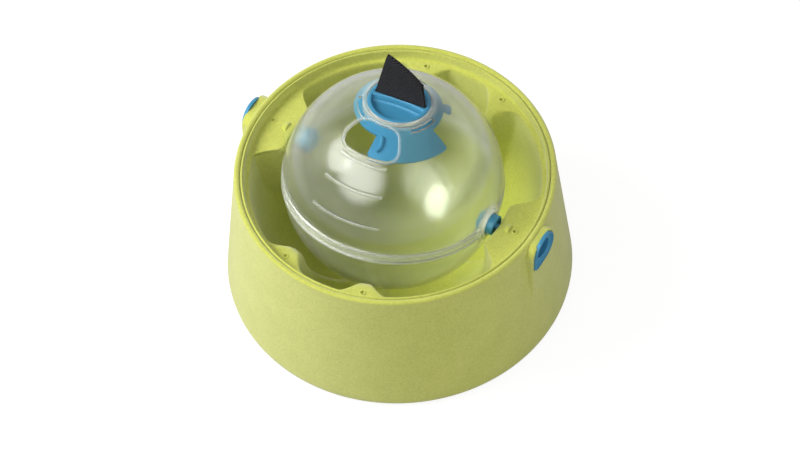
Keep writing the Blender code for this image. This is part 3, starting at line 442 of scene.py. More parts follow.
bowl = {
    "columns": 288, "axle": 101.27, "sheet": 2.6, "trayEdge": 107.7,
    # outer shell from under its foot up the cone, over the rounded rim and back down inside: radius, height
    "wall": [(123.4, 1.2), (124.7, 1.35), (126.1, 2.3), (127.05, 3.9), (127.3, 5.7), (126.9, 9.4),
        (124.6, 28.8), (121.6, 54.2), (118.6, 79.5), (116.2, 99.6), (115.25, 107.4)],
    "rim": [(115.0, 110.4), (114.85, 111.4), (114.35, 112.4), (113.5, 113.0), (112.7, 113.07),
        (111.9, 112.9), (111.25, 112.45), (110.8, 111.7), (110.54, 110.7)],
    "inside": [(110.54, 101.8), (108.3, 101.8), (108.3, 100.3), (113.8, 96.2), (124.5, 5.8), (124.3, 4.2),
        (123.1, 3.9)],
    # inner tray's edge: from its hidden foot up over the narrow top to the ledge
    "lip": [(110.4, 102.1), (110.4, 110.9), (110.15, 111.7), (109.7, 112.25), (109.1, 112.4),
        (108.65, 112.0), (108.4, 111.2), (108.15, 109.6), (107.8, 107.3), (107.45, 106.1), (106.9, 105.3),
        (106.1, 104.95)],
    # from the ledge down to the middle, through a pocket, a narrow bump and a bridge
    "pocket": [(105.3, 104.8), (104.8, 104.4), (104.4, 103.6), (104.0, 102.0), (103.5, 97.0), (102.7, 88.0),
        (101.3, 76.0), (98.6, 62.0), (94.0, 49.5), (87.0, 38.5), (78.0, 29.8), (66.0, 22.8), (52.0, 18.4),
        (38.0, 16.3), (22.0, 15.45), (8.0, 15.22), (0.0, 15.2)],
    "bump": [(104.6, 104.87), (102.0, 104.87), (99.0, 104.8), (96.3, 104.4), (93.8, 103.2), (91.6, 100.8),
        (89.6, 97.0), (88.0, 91.0), (86.0, 81.0), (81.5, 67.5), (74.0, 53.0), (62.0, 36.0), (50.0, 22.5),
        (38.0, 17.0), (22.0, 15.45), (8.0, 15.22), (0.0, 15.2)],
    "bridge": [(103.0, 104.87), (98.0, 104.87), (93.0, 104.87), (88.6, 104.85), (86.0, 104.4),
        (84.8, 103.2), (84.3, 100.4), (84.1, 94.0), (83.8, 84.0), (82.6, 71.0), (78.6, 55.0), (69.0, 36.0),
        (53.0, 21.0), (38.0, 16.6), (22.0, 15.5), (8.0, 15.22), (0.0, 15.2)],
    "spread": [3.0, 2.2, 1.6, 1.1, 0.7, 0.4, 0.15] + [0.0] * 10,
    "bumpAngle": 72.0, "bumpHalf": 4.6, "bridgeHalf": 13.2, "bumpSoft": 3.4, "bridgeSoft": 2.0,
}
bowlRows = list(zip(
    *(smoothRows(bowl[name], 3) for name in ("pocket", "bump", "bridge")),
    [row[0] for row in smoothRows([(spread,) for spread in bowl["spread"]], 3)]))

boss = {"face": 120.8, "depth": 10.2, "half": 15.5, "top": 10.6, "foot": -54.5, "corner": 9.0, "edge": 1.3}
plug = {
    "radius": 12.8, "tip": 17.2, "tipRadius": 3.4, "tipLean": -135.0, "thick": 2.6, "proud": 1.4, "gap": 0.5,
    "barrel": 9.0, "barrelWall": 1.4, "barrelEnd": 112.0, "barrelGap": 0.3, "pin": 2.0, "pinEnd": 71.7,
    "pinGap": 0.4, "rimWidth": 1.3, "scoop": 1.9,
}
marks = {
    # small sink rings on the six lands: radius out, azimuth
    "rings": [(97.7, 0.0), (102.0, 72.0), (102.0, 108.0), (102.6, 180.0), (102.0, 252.0), (102.0, 288.0)],
    "ringRadius": 1.8, "ringWire": 0.6, "height": 104.87, "dimple": (0.9, 1.6),
    "moons": [92.0, -92.0], "moonReach": (4.4, 4.8), "moonRise": 1.7, "moonSink": 0.3,
}


def bowlSection(angle):
    turned = abs((angle + 180) % 360 - 180)
    turned = min(turned, 180 - turned)
    soft, crisp = bowl["bumpSoft"], bowl["bridgeSoft"]
    toBump = abs(turned - bowl["bumpAngle"])
    rows = []
    for (r, z), bump, bridge, spread in bowlRows:
        nearBump = eased((bowl["bumpHalf"] + soft * (spread / 2 + 1) - toBump) / (2 * soft))
        nearBridge = eased((bowl["bridgeHalf"] + crisp * (spread + 1) - turned) / (2 * crisp))
        r, z = r + nearBump * (bump[0] - r), z + nearBump * (bump[1] - z)
        rows.append((r + nearBridge * (bridge[0] - r), z + nearBridge * (bridge[1] - z)))
    return rows


def sideFrame(sign):
    # local Z out along the axle, local Y up
    out = Vector((sign, 0, 0))
    up = Vector((0, 0, 1))
    side = Matrix((up.cross(out), up, out)).transposed().to_4x4()
    side.translation = (0, 0, bowl["axle"])
    return side


def bossOutline(grow, z):
    half, top, corner = boss["half"] + grow, boss["top"] + grow, boss["corner"]
    points = [(-half, boss["foot"]), (half, boss["foot"])]
    points += arc((half - corner, top - corner), corner, 0, 90, 10)
    points += arc((corner - half, top - corner), corner, 90, 180, 10)
    return [(x, y, z) for x, y in points]


def headOutline(grow, z):
    # round head drawn out to a rounded finger tip, down and to one side
    small, lean = plug["tipRadius"], plug["tipLean"]
    centre = plug["tip"] - small
    swing = 90 - asin((plug["radius"] - small) / centre) * 180 / pi
    points = arc((0, 0), plug["radius"] + grow, lean + swing, lean + 360 - swing, 44)
    middle = (centre * cos(radians(lean)), centre * sin(radians(lean)))
    points += arc(middle, small + grow, lean - swing, lean + swing, 14)[1:-1]
    return [(x, y, z) for x, y in points]


def makeShell():
    shell = turn(bowl["wall"] + smoothRows(bowl["rim"], 2) + bowl["inside"], bowl["columns"])
    face, edge, gap = boss["face"], boss["edge"], plug["gap"]
    floor = face + plug["proud"] - plug["thick"] - 0.3
    pad = loft([bossOutline(*layer) for layer in (
        (0, face - boss["depth"]), (0, face - edge), (-edge * 0.3, face - edge * 0.3), (-edge, face))])
    recess = loft([headOutline(*layer) for layer in (
        (gap, floor), (gap, face - 0.5), (gap + 0.5, face), (gap + 0.5, face + 4))])
    bore = cylinder(plug["barrel"] + plug["barrelGap"], plug["barrelEnd"] - plug["barrelGap"], face + 4, 48)
    way = cylinder(plug["pin"] + plug["pinGap"], 100, face, 32)
    pads, *cuts = [[moved(tool, sideFrame(sign)) for sign in (1, -1)] for tool in (pad, recess, bore, way)]
    shell = add(shell, *pads)
    for tools in cuts:
        shell = cut(shell, *tools)
    placePiece("outerShell", shell, lime, "bowl", ["outer_shell"], crease=38)


def traySection(angle):
    # closed section: over the lip, down to the middle, and back out along the hidden face
    seen = bowl["lip"] + bowlSection(angle)
    hidden = []
    for i in range(len(bowl["lip"]), len(seen)):
        before, after = seen[i - 1], seen[min(i + 1, len(seen) - 1)]
        run, drop = after[0] - before[0], after[1] - before[1]
        long = hypot(run, drop) or 1.0
        hidden.append([seen[i][0] - drop / long * bowl["sheet"], seen[i][1] + run / long * bowl["sheet"]])
    hidden[-1] = [0.0, seen[-1][1] - bowl["sheet"]]
    limit = [bowl["trayEdge"], hidden[0][1]]
    for place in hidden:
        limit = [min(limit[0], place[0]), min(limit[1], place[1])]
        place[:] = limit
    back = [(bowl["trayEdge"], bowl["lip"][0][1])] + [tuple(place) for place in hidden[::2]]
    if back[-1] != tuple(hidden[-1]):
        back.append(tuple(hidden[-1]))
    return seen + back[::-1]


def makeTray():
    rings = []
    for column in range(bowl["columns"]):
        angle = 360 * column / bowl["columns"]
        c, s = cos(radians(angle)), sin(radians(angle))
        rings.append([(r * c, r * s, z) for r, z in traySection(angle)])
    tray = loft(rings, "joined")
    way = cylinder(plug["pin"] + plug["pinGap"], 78, 112, 32)
    low, reach = marks["dimple"]
    dimple = turn([(0, -low), (reach - 0.5, -low), (reach, 0.3 - low), (reach, 2), (0, 2)], 24)
    dimples = []
    for out, azimuth in marks["rings"]:
        place = Matrix.Rotation(radians(azimuth), 4, "Z") @ Matrix.Translation((out, 0, marks["height"]))
        dimples.append(moved(dimple, place))
    tray = cut(cut(tray, *(moved(way, sideFrame(sign)) for sign in (1, -1))), *dimples)
    placePiece("innerTray", tray, lime, "bowl", ["inner_tray"], crease=38)


def makeMarkRings():
    # Geometry Nodes: one thin raised ring set on a point at each land
    values = {"Ring Radius": marks["ringRadius"], "Wire": marks["ringWire"], "Finish": lime}
    tree, given = geometryTree("landRings", values)
    circle = addNode(tree, "GeometryNodeCurvePrimitiveCircle", {
        "Resolution": 28, "Radius": given["Ring Radius"]})
    wire = addNode(tree, "GeometryNodeCurvePrimitiveCircle", {"Resolution": 10, "Radius": given["Wire"]})
    ring = addNode(tree, "GeometryNodeCurveToMesh", {"Curve": circle, "Profile Curve": wire})
    smooth = addNode(tree, "GeometryNodeSetShadeSmooth", {"Geometry": ring})
    copies = addNode(tree, "GeometryNodeInstanceOnPoints", {"Points": given["Geometry"], "Instance": smooth})
    points = pointSet(around(marks["rings"], marks["height"]))
    mesh = runTree(tree, given, copies, values, points)
    placePiece("landRings", mesh, lime, "bowl", crease=60)


def makeMoons():
    # half-moon ejector marks: low domes that rise towards +X and end in a step
    layers, sink = 7, marks["moonSink"]
    moons = []
    for out in marks["moons"]:
        rings = []
        for level in range(layers):
            share = level / (layers - 1)
            reach = 1 - share * 0.85
            z = marks["height"] - sink + (marks["moonRise"] + sink) * sin(share * pi / 2)
            angles = [radians(-100 + 200 * i / 27) for i in range(28)]
            rings.append([(out + 1.2 - cos(angle) * reach * marks["moonReach"][0],
                sin(angle) * reach * marks["moonReach"][1], z) for angle in angles])
        moons.append(loft(rings))
    placePiece("landMoons", asMesh(gathered(moons)), lime, "bowl", crease=50)


makeShell()
makeTray()
makeMarkRings()
makeMoons()
print("bowl made")

under = {
    "plateRadius": 121.4, "plateLow": 1.7, "plateHigh": 4.3, "ribsAt": (30, 62), "ribDepth": 0.5,
    "wellRadius": 3.1, "wellFloor": 3.4, "headRadius": 2.8, "headFoot": 2.2, "headHigh": 3.1, "headLow": 1.7,
    "recessLong": 3.4, "recessWidth": 0.7, "recessDepth": 0.9,
    "screws": [(100.8, azimuth) for azimuth in (0, 72, 108, 180, 252, 288)],
    "feet": [(100.8, azimuth) for azimuth in (45, 135, 225, 315)],
    "tread": [(0, 0.35), (2, 0.35), (2.3, 0.02), (3.6, 0.02), (3.9, 0.35), (5.2, 0.35), (5.5, 0.0),
        (8.2, 0.0), (8.8, 0.2), (9.0, 0.6), (9.0, 1.4), (0, 1.4)],
}


def makePlate():
    # concentric stiffening steps on its underside, and a well over each screw
    low, high, radius, deep = under["plateLow"], under["plateHigh"], under["plateRadius"], under["ribDepth"]
    profile = [(0, low)]
    for inner in under["ribsAt"]:
        profile += [(inner, low), (inner + 0.6, low + deep), (inner + 3.4, low + deep), (inner + 4, low)]
    profile += [(radius - 0.5, low), (radius, low + 0.5), (radius, high), (0, high)]
    well = cylinder(under["wellRadius"], low - 3, under["wellFloor"], 28)
    wells = [moved(well, Matrix.Translation(place)) for place in around(under["screws"], 0)]
    plate = cut(turn(profile, 144), *wells)
    placePiece("basePlateMoulding", plate, lime, "bowl", ["base_plate"])


def makeScrews():
    # Geometry Nodes: a screw head with a cross recess, set on six points
    values = {
        "Head Radius": under["headRadius"], "Head Height": under["headHigh"] - under["headLow"],
        "Recess Width": under["recessWidth"], "Recess Depth": under["recessDepth"], "Finish": steel}
    tree, given = geometryTree("baseScrews", values)
    head = addNode(tree, "GeometryNodeMeshCone", {
        "Vertices": 28, "Radius Top": given["Head Radius"], "Radius Bottom": under["headFoot"],
        "Depth": given["Head Height"]})
    cross = addNode(tree, "GeometryNodeJoinGeometry")
    long, wide = under["recessLong"], given["Recess Width"]
    for x, y in ((long, wide), (wide, long)):
        size = addNode(tree, "ShaderNodeCombineXYZ", {"X": x, "Y": y, "Z": given["Recess Depth"]})
        setInputs(cross, {"Geometry": addNode(tree, "GeometryNodeMeshCube", {"Size": size})})
    bored = addNode(tree, "GeometryNodeMeshBoolean", {
        "Mesh 1": head, "Mesh 2": cross, "Self Intersection": True}, operation="DIFFERENCE", solver="EXACT")
    copies = addNode(tree, "GeometryNodeInstanceOnPoints", {"Points": given["Geometry"], "Instance": bored})
    points = pointSet(around(under["screws"], under["headLow"]))
    mesh = runTree(tree, given, copies, values, points)
    placePiece("baseScrewHeads", mesh, steel, "bowl", [f"base_screw_{n}" for n in range(1, 7)])


def makeFeet():
    # Geometry Nodes: rubber feet with ring treads
    shape = linked("padShape", turn(under["tread"], 48))
    values = {"Foot Shape": shape, "Finish": rubber}
    tree, given = geometryTree("rubberFeet", values)
    pad = addNode(tree, "GeometryNodeObjectInfo", {"Object": given["Foot Shape"]}).outputs["Geometry"]
    copies = addNode(tree, "GeometryNodeInstanceOnPoints", {"Points": given["Geometry"], "Instance": pad})
    mesh = runTree(tree, given, copies, values, pointSet(around(under["feet"], 0)))
    bpy.data.objects.remove(shape)
    placePiece("rubberFeet", mesh, rubber, "bowl", [f"rubber_foot_{n}" for n in range(1, 5)])


makePlate()
makeScrews()
makeFeet()
print("underside made")


def makePlugs():
    reach, end, wall = plug["barrel"], plug["barrelEnd"], plug["barrelWall"]
    front = boss["face"] + plug["proud"]
    back = front - plug["thick"]
    head = loft([headOutline(*layer) for layer in (
        (0, back), (0.0, front - 0.9), (-0.25, front - 0.35), (-0.8, front))])
    barrel = cylinder(reach, end, back + 0.8, 64, 0.4)
    pin = cylinder(plug["pin"], plug["pinEnd"], end + wall / 2, 32, 0.4)
    hollow = cylinder(reach - wall, end + wall, front + 4, 64, 0.8)
    rim, deep = -plug["rimWidth"], plug["scoop"]
    scoop = loft([headOutline(*layer) for layer in (
        (rim - 2.0, front - deep), (rim - 1.1, front - deep + 0.15), (rim - 0.45, front - deep * 0.5),
        (rim, front - 0.3), (rim + 0.25, front + 4))])
    body = cut(cut(add(add(head, barrel), pin), hollow), scoop)
    for sign, side in ((1, "right"), (-1, "left")):
        placePiece(f"axlePlug.{side}", body.copy(), blue, f"plug_{side}",
            [f"axle_plug_{side}"], sideFrame(sign), crease=40)


makePlugs()
print("plugs made")

ball = {
    "drift": -2.0, "lean": 9.7, "radius": 79.1, "wall": 2.2, "seam": 2.8, "lap": 2.6, "bead": 0.7,
    "collar": 25.1, "collarTop": 77.6, "seat": 22.6, "seatHeight": 74.6, "neckWall": 2.7, "neckEnd": 66.5,
    "steps": 144,
}
ballPlace = (Matrix.Translation((ball["drift"], 0, bowl["axle"]))
    @ Matrix.Rotation(radians(-ball["lean"]), 4, "X"))
opening = {
    "lat": (53.0, 70.8), "lon": (-118.8, -59.8), "corners": (8.0, 8.5, 11.2, 8.5), "lip": 1.3, "lipOut": 0.65}
ribs = {"lats": (49.0, 34.8, 18.0), "lon": (-108.0, -68.0), "width": 2.6, "height": 2.2, "round": 0.7}
windows = {
    "lons": (-141.0, -21.0, 99.0), "span": 42.0, "inner": 0.8, "width": 2.8, "hookReach": 3.4,
    "hookHeight": 1.8, "hookLow": 67.2,
}
hub = {
    "radius": 8.0, "face": 82.9, "length": 14.0, "flange": 2.2, "flangeWall": 1.8, "ring": 2.6,
    "ringRise": 0.8, "bore": 2.3,
}
# milky shares: seam and collar are milky plastic; what stands proud is whitened as painted highlight, the +X
# bush as painted reflection
frostAndHighlightShares = {"proud": 0.48, "seam": 0.15, "collar": 0.6, "bush": 1.5}


def latArc(radius, first, last):
    return arc((0, 0), radius, first, last, max(2, round(abs(last - first) / 2.5) + 1))


def openingPath(grow, radius):
    # the opening's edge on the sphere: a band between two latitudes with round corners
    low, high = opening["lat"]
    first, last = opening["lon"]
    reach = grow / ball["radius"] * 180 / pi
    low, high = low - reach, high + reach
    across = reach / cos(radians((low + high) / 2))
    first, last = first - across, last + across
    places = []
    spots = ((last, high, 1, 1), (first, high, -1, 1), (first, low, -1, -1), (last, low, 1, -1))
    for (lon, lat, side, rise), begin, corner in zip(spots, (0, 90, 180, 270), opening["corners"]):
        size = min((corner + grow) / ball["radius"] * 180 / pi, (high - low) / 2)
        centreLat = lat - rise * size
        for i in range(13):
            angle = radians(begin + 90 * i / 12)
            spotLat = centreLat + size * sin(angle)
            places.append((spotLat, lon + (size * cos(angle) - side * size) / cos(radians(spotLat))))
    filled = []
    for place, other in zip(places, places[1:] + places[:1]):
        filled.append(place)
        parts = int(abs(other[1] - place[1]) / 3) + 1
        for i in range(1, parts):
            share = i / parts
            filled.append(tuple(a + share * (b - a) for a, b in zip(place, other)))
    return [onSphere(radius, lat, lon) for lat, lon in filled]


def makeRibs():
    # Geometry Nodes: level ribs as flat bars along circles of latitude, one for each point
    levels = pointSet([(0, 0, ball["radius"] * sin(radians(lat))) for lat in ribs["lats"]])
    setFloats(levels, "levelRadius", [ball["radius"] * cos(radians(lat)) for lat in ribs["lats"]])
    setFloats(levels, "levelTilt", [-radians(lat) for lat in ribs["lats"]])
    first, last = ribs["lon"]
    values = {
        "Start": radians(first), "Sweep": radians(last - first), "Rib Width": ribs["width"],
        "Rib Height": ribs["height"], "Rounding": ribs["round"], "Finish": clear}
    tree, given = geometryTree("levelRibs", values)
    bar = addNode(tree, "GeometryNodeCurveArc", {
        "Resolution": 24, "Radius": 1.0, "Start Angle": given["Start"], "Sweep Angle": given["Sweep"]})
    size, lean = (addNode(
        tree, "GeometryNodeInputNamedAttribute", {"Name": name}, data_type="FLOAT").outputs["Attribute"]
        for name in ("levelRadius", "levelTilt"))
    grown = addNode(tree, "ShaderNodeCombineXYZ", {"X": size, "Y": size, "Z": 1.0})
    copies = addNode(tree, "GeometryNodeInstanceOnPoints", {
        "Points": given["Geometry"], "Instance": bar, "Scale": grown})
    real = addNode(tree, "GeometryNodeRealizeInstances", {"Geometry": copies})
    tilted = addNode(tree, "GeometryNodeSetCurveTilt", {"Curve": real, "Tilt": lean})
    section = addNode(tree, "GeometryNodeCurvePrimitiveQuadrilateral", {
        "Width": given["Rib Height"], "Height": given["Rib Width"]})
    section = addNode(tree, "GeometryNodeFilletCurve", {
        "Curve": section, "Radius": given["Rounding"], "Count": 3}, mode="POLY")
    solid = addNode(tree, "GeometryNodeCurveToMesh", {
        "Curve": tilted, "Profile Curve": section, "Fill Caps": True})
    return finishMesh(gathered([runTree(tree, given, solid, values, levels)]))


def ballSide(sign):
    return Matrix.Translation((0, 0, -bowl["axle"])) @ sideFrame(sign)


def frostAt(place):
    # how milky the plastic is: milky at the seam and the collar; whitened as painted highlight on the seam's
    # two edges and on what stands proud, and as painted reflection round the +X bush
    # ribs, lip, bead and hub rings whitened: painted highlight
    proud = eased((place.length - ball["radius"] - 0.5) / 0.6) * frostAndHighlightShares["proud"]
    level = abs(place.z)
    seam = eased((ball["seam"] + 1.9 - level) / 1.2) * frostAndHighlightShares["seam"]
    # the seam's two edges whitened: painted highlight lines
    edge = eased(0.9 - abs(level - ball["seam"] - 0.9))
    inCollar = hypot(place.x, place.y) < ball["collar"] + 0.4
    collar = eased(place.z - ball["seatHeight"] + 0.5) * (frostAndHighlightShares["collar"] if inCollar else 0.0)
    # round the +X bush only: painted reflection laid over the hub behind
    bush = eased((16.0 - hypot(place.y, place.z)) / 5.0) * (frostAndHighlightShares["bush"] if place.x > 60.0 else 0.0)
    return max(proud, seam, collar, bush, edge)


def makeDomes():
    radius, inner, lap = ball["radius"], ball["radius"] - ball["wall"], ball["radius"] - ball["wall"] / 2
    top, seat, collar, neckEnd = ball["collarTop"], ball["seat"], ball["collar"], ball["neckEnd"]
    seam, over, crown = ball["seam"], ball["lap"], radius + ball["bead"]
    half = radius + ball["bead"] * 0.5
    neck, bore = seat - 0.3, seat - ball["neckWall"]
    footLat, neckLat = (atan2(sqrt(size ** 2 - reach ** 2), reach) * 180 / pi
        for size, reach in ((radius, collar), (inner, neck)))
    upper = [
        (seat, top - 0.3), (seat + 0.3, top), (collar - 0.9, top), (collar - 0.3, top - 0.25),
        (collar, top - 0.9), *latArc(radius, footLat, 4.5), (half, seam + 1.6), (crown, seam + 0.6),
        (crown, 0.5 - seam), (crown - 0.5, -seam), (lap + 0.15, -seam), (lap + 0.15, over), (inner, over),
        *latArc(inner, 5, neckLat), (neck, neckEnd + 0.4), (neck - 0.4, neckEnd), (bore, neckEnd),
        (bore, ball["seatHeight"]), (seat, ball["seatHeight"])]
    lower = [
        (0, -inner), *latArc(inner, -90, -3)[1:], (inner, over - 0.3), (lap - 0.15, over - 0.3),
        (lap - 0.15, -seam - 0.3), (crown - 0.5, -seam - 0.3), (crown, -seam - 0.8), (crown, -seam - 2.2),
        (half, -seam - 3.4), *latArc(radius, -6.5, -90)[:-1], (0, -radius)]
    upper, lower = turn(upper, ball["steps"]), turn(lower, ball["steps"])
    lip = rod(openingPath(opening["lip"] * opening["lipOut"], radius), opening["lip"], closed=True)
    upperAdds, lowerAdds, bores, cuts = [makeRibs(), lip], [], [], []
    out, crest = hub["radius"] + hub["ring"], radius + hub["ringRise"]
    for sign in (1, -1):
        for adds, root, level in ((upperAdds, lap + 0.3, -seam), (lowerAdds, inner - 0.7, -seam - 0.3)):
            section = [(0, root), (out, root), (out, crest - 0.8), (out - 0.3, crest - 0.25),
                (out - 1.0, crest), (0, crest)]
            ring = moved(turn(section, 56), ballSide(sign))
            adds.append(halfOf(ring, level, adds is upperAdds))
        bores.append(moved(cylinder(hub["radius"] + 0.3, 55, 90, 56), ballSide(sign)))
    root, reach, low, span = neck - 1.3, neck + windows["hookReach"], windows["hookLow"], windows["span"]
    hook = [(root, low), (reach, low), (reach, low + 0.9), (root, low + windows["hookHeight"])]
    near = collar + windows["inner"]
    far = near + windows["width"]
    deep = sqrt(inner ** 2 - far ** 2) - 1.0
    for lon in windows["lons"]:
        start = lon - span / 2
        upperAdds.append(turn(hook, 14, start, span))
        cuts.append(turn([(near, deep), (far, deep), (far, top + 4), (near, top + 4)], 14, start, span))
    # the opening is cut straight in, towards the ball's middle
    out = sum(openingPath(0, 1.0), Vector()).normalized()
    across = Vector((0, 0, 1)).cross(out).normalized()
    view = Matrix((across, out.cross(across), out)).transposed()
    flat = [view.inverted() @ point for point in openingPath(0, radius)]
    cuts.append(loft([[view @ Vector((p.x, p.y, z)) for p in flat] for z in (inner * 0.8, radius + 5)]))
    upper = cut(add(upper, *upperAdds), *cuts, *bores)
    lower = cut(add(lower, *lowerAdds), *bores)
    for name, mesh, node in (("upperDome", upper, "upper_dome"), ("lowerDome", lower, "lower_dome")):
        setFloats(mesh, "frost", [frostAt(vertex.co) for vertex in mesh.vertices])
        placePiece(name, mesh, clear, "ball", [node], ballPlace, crease=34)


def makeHubs():
    out, flange, wall, bore = hub["radius"] - 0.4, hub["flange"], hub["flangeWall"], hub["bore"]
    seat = sqrt((ball["radius"] - ball["wall"]) ** 2 - (hub["radius"] + flange) ** 2) - 0.8
    wide = out + flange
    for sign, side in ((1, "right"), (-1, "left")):
        # the ball has slid along both hubs, towards -X
        face, root = hub["face"] - sign * ball["drift"], seat + (1 - sign) * ball["drift"]
        end = face - hub["length"]
        section = [
            (bore, face - 0.5), (bore + 0.5, face - 1.0), (out - 2.0, face - 1.0), (out - 1.6, face),
            (out - 0.6, face), (out, face - 0.6), (out, root), (wide - 0.3, root), (wide, root - 0.3),
            (wide, root - wall), (out, root - wall), (out - 0.3, end + 0.6), (out - 0.9, end), (0, end),
            (0, end + 1.4), (bore, end + 1.4)]
        placePiece(f"axleHub.{side}", turn(section, 64), blue, "ball",
            [f"axle_hub_{side}"], ballPlace @ ballSide(sign), crease=40)


makeDomes()
makeHubs()
print("ball made")

shutter = {
    "gap": 0.8, "wall": 2.2, "hubReach": 8.9, "fanLat": 53.2, "fan": (-88.0, -10.5), "lug": (29.5, 40.5),
    "lugReach": 5.5, "rows": 9, "bevel": 0.25, "cornerDrop": 1.3, "cornerSpan": 1.8, "nubRadius": 1.4,
    "nubLats": (65.6, 63.8, 61.4, 59.2, 57.5), "nubLons": (-80.5, -78.8, -78.2, -79.2, -81.3),
}


def makeShutter():
    outer = ball["radius"] - ball["wall"] - shutter["gap"]
    inner = outer - shutter["wall"]

    def coLat(reach):
        return asin(reach / outer) * 180 / pi

    first, ringEdge = coLat(ball["seat"]), ball["seat"] - 0.3 + shutter["hubReach"]
    (fanFirst, fanLast), (lugFirst, lugLast) = shutter["fan"], shutter["lug"]
    lons = {step * 2.5 - 180 for step in range(144)} | {fanFirst + 0.6, fanLast - 0.6}
    for begin, end in (shutter["fan"], shutter["lug"]):
        lons |= {begin - 0.05, begin, end, end + 0.05}
    rings = []
    for lon in sorted(lons):
        edge = coLat(ringEdge)
        if fanFirst <= lon <= fanLast:
            # the fan's two outer corners are rounded
            inside = min(lon - fanFirst, fanLast - lon)
            drop = (1 - min(1.0, inside / shutter["cornerSpan"])) ** 2
            edge = 90 - shutter["fanLat"] - shutter["cornerDrop"] * drop
        elif lugFirst <= lon <= lugLast:
            edge = coLat(ringEdge + shutter["lugReach"])
        rows = shutter["rows"]
        angles = [first + (edge - first) * (i / (rows - 1)) for i in range(rows)]
        ring = [onSphere(outer, 90 - a, lon) for a in angles[:-1] + [angles[-1] - shutter["bevel"]]]
        rings.append(ring + [onSphere(inner, 90 - a, lon) for a in reversed(angles)])
    plate = loft(rings, "joined")
    lift = outer + shutter["nubRadius"] * 0.5
    path = [tuple(onSphere(lift, lat, lon)) for lat, lon in zip(shutter["nubLats"], shutter["nubLons"])]
    plate = add(plate, rod(smoothRows(path, 4), shutter["nubRadius"], sides=5))
    placePiece("shutterPlate", plate, blue, "shutter", ["shutter"], ballPlace, crease=36)


makeShutter()

cap = {
    "twist": 7.0, "radius": 22.3, "top": 77.3, "under": 74.9, "skirt": 19.6, "skirtEnd": 66.0,
    "skirtWall": 1.8, "recess": 3.6, "shelf": 1.8, "shelfReach": 2.6, "floor": 71.2, "edge": 3.0, "rib": 6.4,
    "ribShift": 2.5, "ribBow": 2.2,
}
capPlace = ballPlace @ Matrix.Rotation(radians(cap["twist"]), 4, "Z")
tab = {
    "width": 37.4, "thick": 1.3, "leafGap": 0.5, "height": 35.5, "lean": (0.181, -0.097), "bend": 1.9,
    "tops": ((0.0, 1.0), (0.17, 0.95), (0.34, 0.885), (0.51, 0.805), (0.68, 0.72), (0.84, 0.62), (1.0, 0.51)),
    "anchor": 1.6, "anchorHalf": 17, "anchorDrop": 1.3, "anchorGap": 0.3, "yarnPitch": 1.2, "yarnRise": 0.2,
    "rows": 130, "columns": 27, "drawnThick": 0.8, "wave": 0.35,
}


def recessOutline(chord, inset, z, mirror):
    radius = cap["radius"] - cap["edge"] - inset
    chord = chord + inset
    reach = asin(chord / radius) * 180 / pi
    points = arc((0, 0), radius, reach - 180, -reach, 33)
    half = radius * cos(radians(reach))
    for i in range(1, 24):
        share = 1 - i / 12
        points.append((half * share, -chord + cap["ribBow"] * (1 - share * share)))
    return [(-x, -y, z) if mirror else (x, y, z) for x, y in points]


def makeCap():
    top, out, floor, low = cap["top"], cap["radius"], cap["floor"], cap["skirtEnd"]
    skirt, inner, shift = cap["skirt"], cap["skirt"] - cap["skirtWall"], cap["ribShift"]
    body = turn([
        (0, top), (out - 1.6, top), (out - 0.7, top - 0.15), (out - 0.15, top - 0.6), (out, top - 1.2),
        (out, cap["under"]), (skirt, cap["under"]), (skirt, low), (inner, low), (inner, floor),
        (0, floor)], 96)
    deep, shallow = top - cap["recess"], top - cap["shelf"]
    # side walls lean and round into the floor; the mouth has a small chamfer
    recess = [(2.6, deep), (1.5, deep + 0.35), (0.8, deep + 1.1), (0.4, deep + 2.2), (0.0, top - 0.5),
        (-0.5, top + 0.05), (-0.6, top + 3)]
    # a shelf along the rib: the deep part starts further out, and this shallow one reaches the rib
    shelf = [(1.0, shallow), (0.3, shallow + 0.4), (0.0, top - 0.4), (-0.5, top + 0.05), (-0.6, top + 3)]
    recesses, shelves = [], []
    for mirror in (False, True):
        chord = cap["rib"] / 2 + cap["ribBow"] / 2 + (shift if mirror else -shift)
        chord += cap["shelfReach"]
        recesses.append(loft([recessOutline(chord, inset, z, mirror) for inset, z in recess]))
        chord -= cap["shelfReach"]
        shelves.append(loft([recessOutline(chord, inset, z, mirror) for inset, z in shelf]))
    half = tab["width"] / 2 + 0.6
    thick = tab["thick"] + tab["leafGap"] / 2 + 0.3
    box = [(-half, shift - thick), (half, shift - thick), (half, shift + thick), (-half, shift + thick)]
    slot = loft([[(x, y, z) for x, y in box] for z in (low - 3, top + 3)])
    body = cut(cut(cut(body, *recesses), *shelves), slot)
    placePiece("fillerCap", body, blue, "cap", ["cap"], capPlace, crease=38)
    wire, end = tab["anchor"], tab["anchorHalf"]
    centre = floor - tab["anchorDrop"] - wire - tab["anchorGap"] - tab["thick"] / 2
    bar = [(0, -end), (1.3, -end), (wire, 0.3 - end), (wire, end - 0.3), (1.3, end), (0, end)]
    bar = moved(turn(bar, 24), Matrix.Translation((0, shift, centre)) @ Matrix.Rotation(pi / 2, 4, "Y"))
    placePiece("tabAnchor", bar, steel, "cap", ["tab_anchor"], capPlace)
    return centre


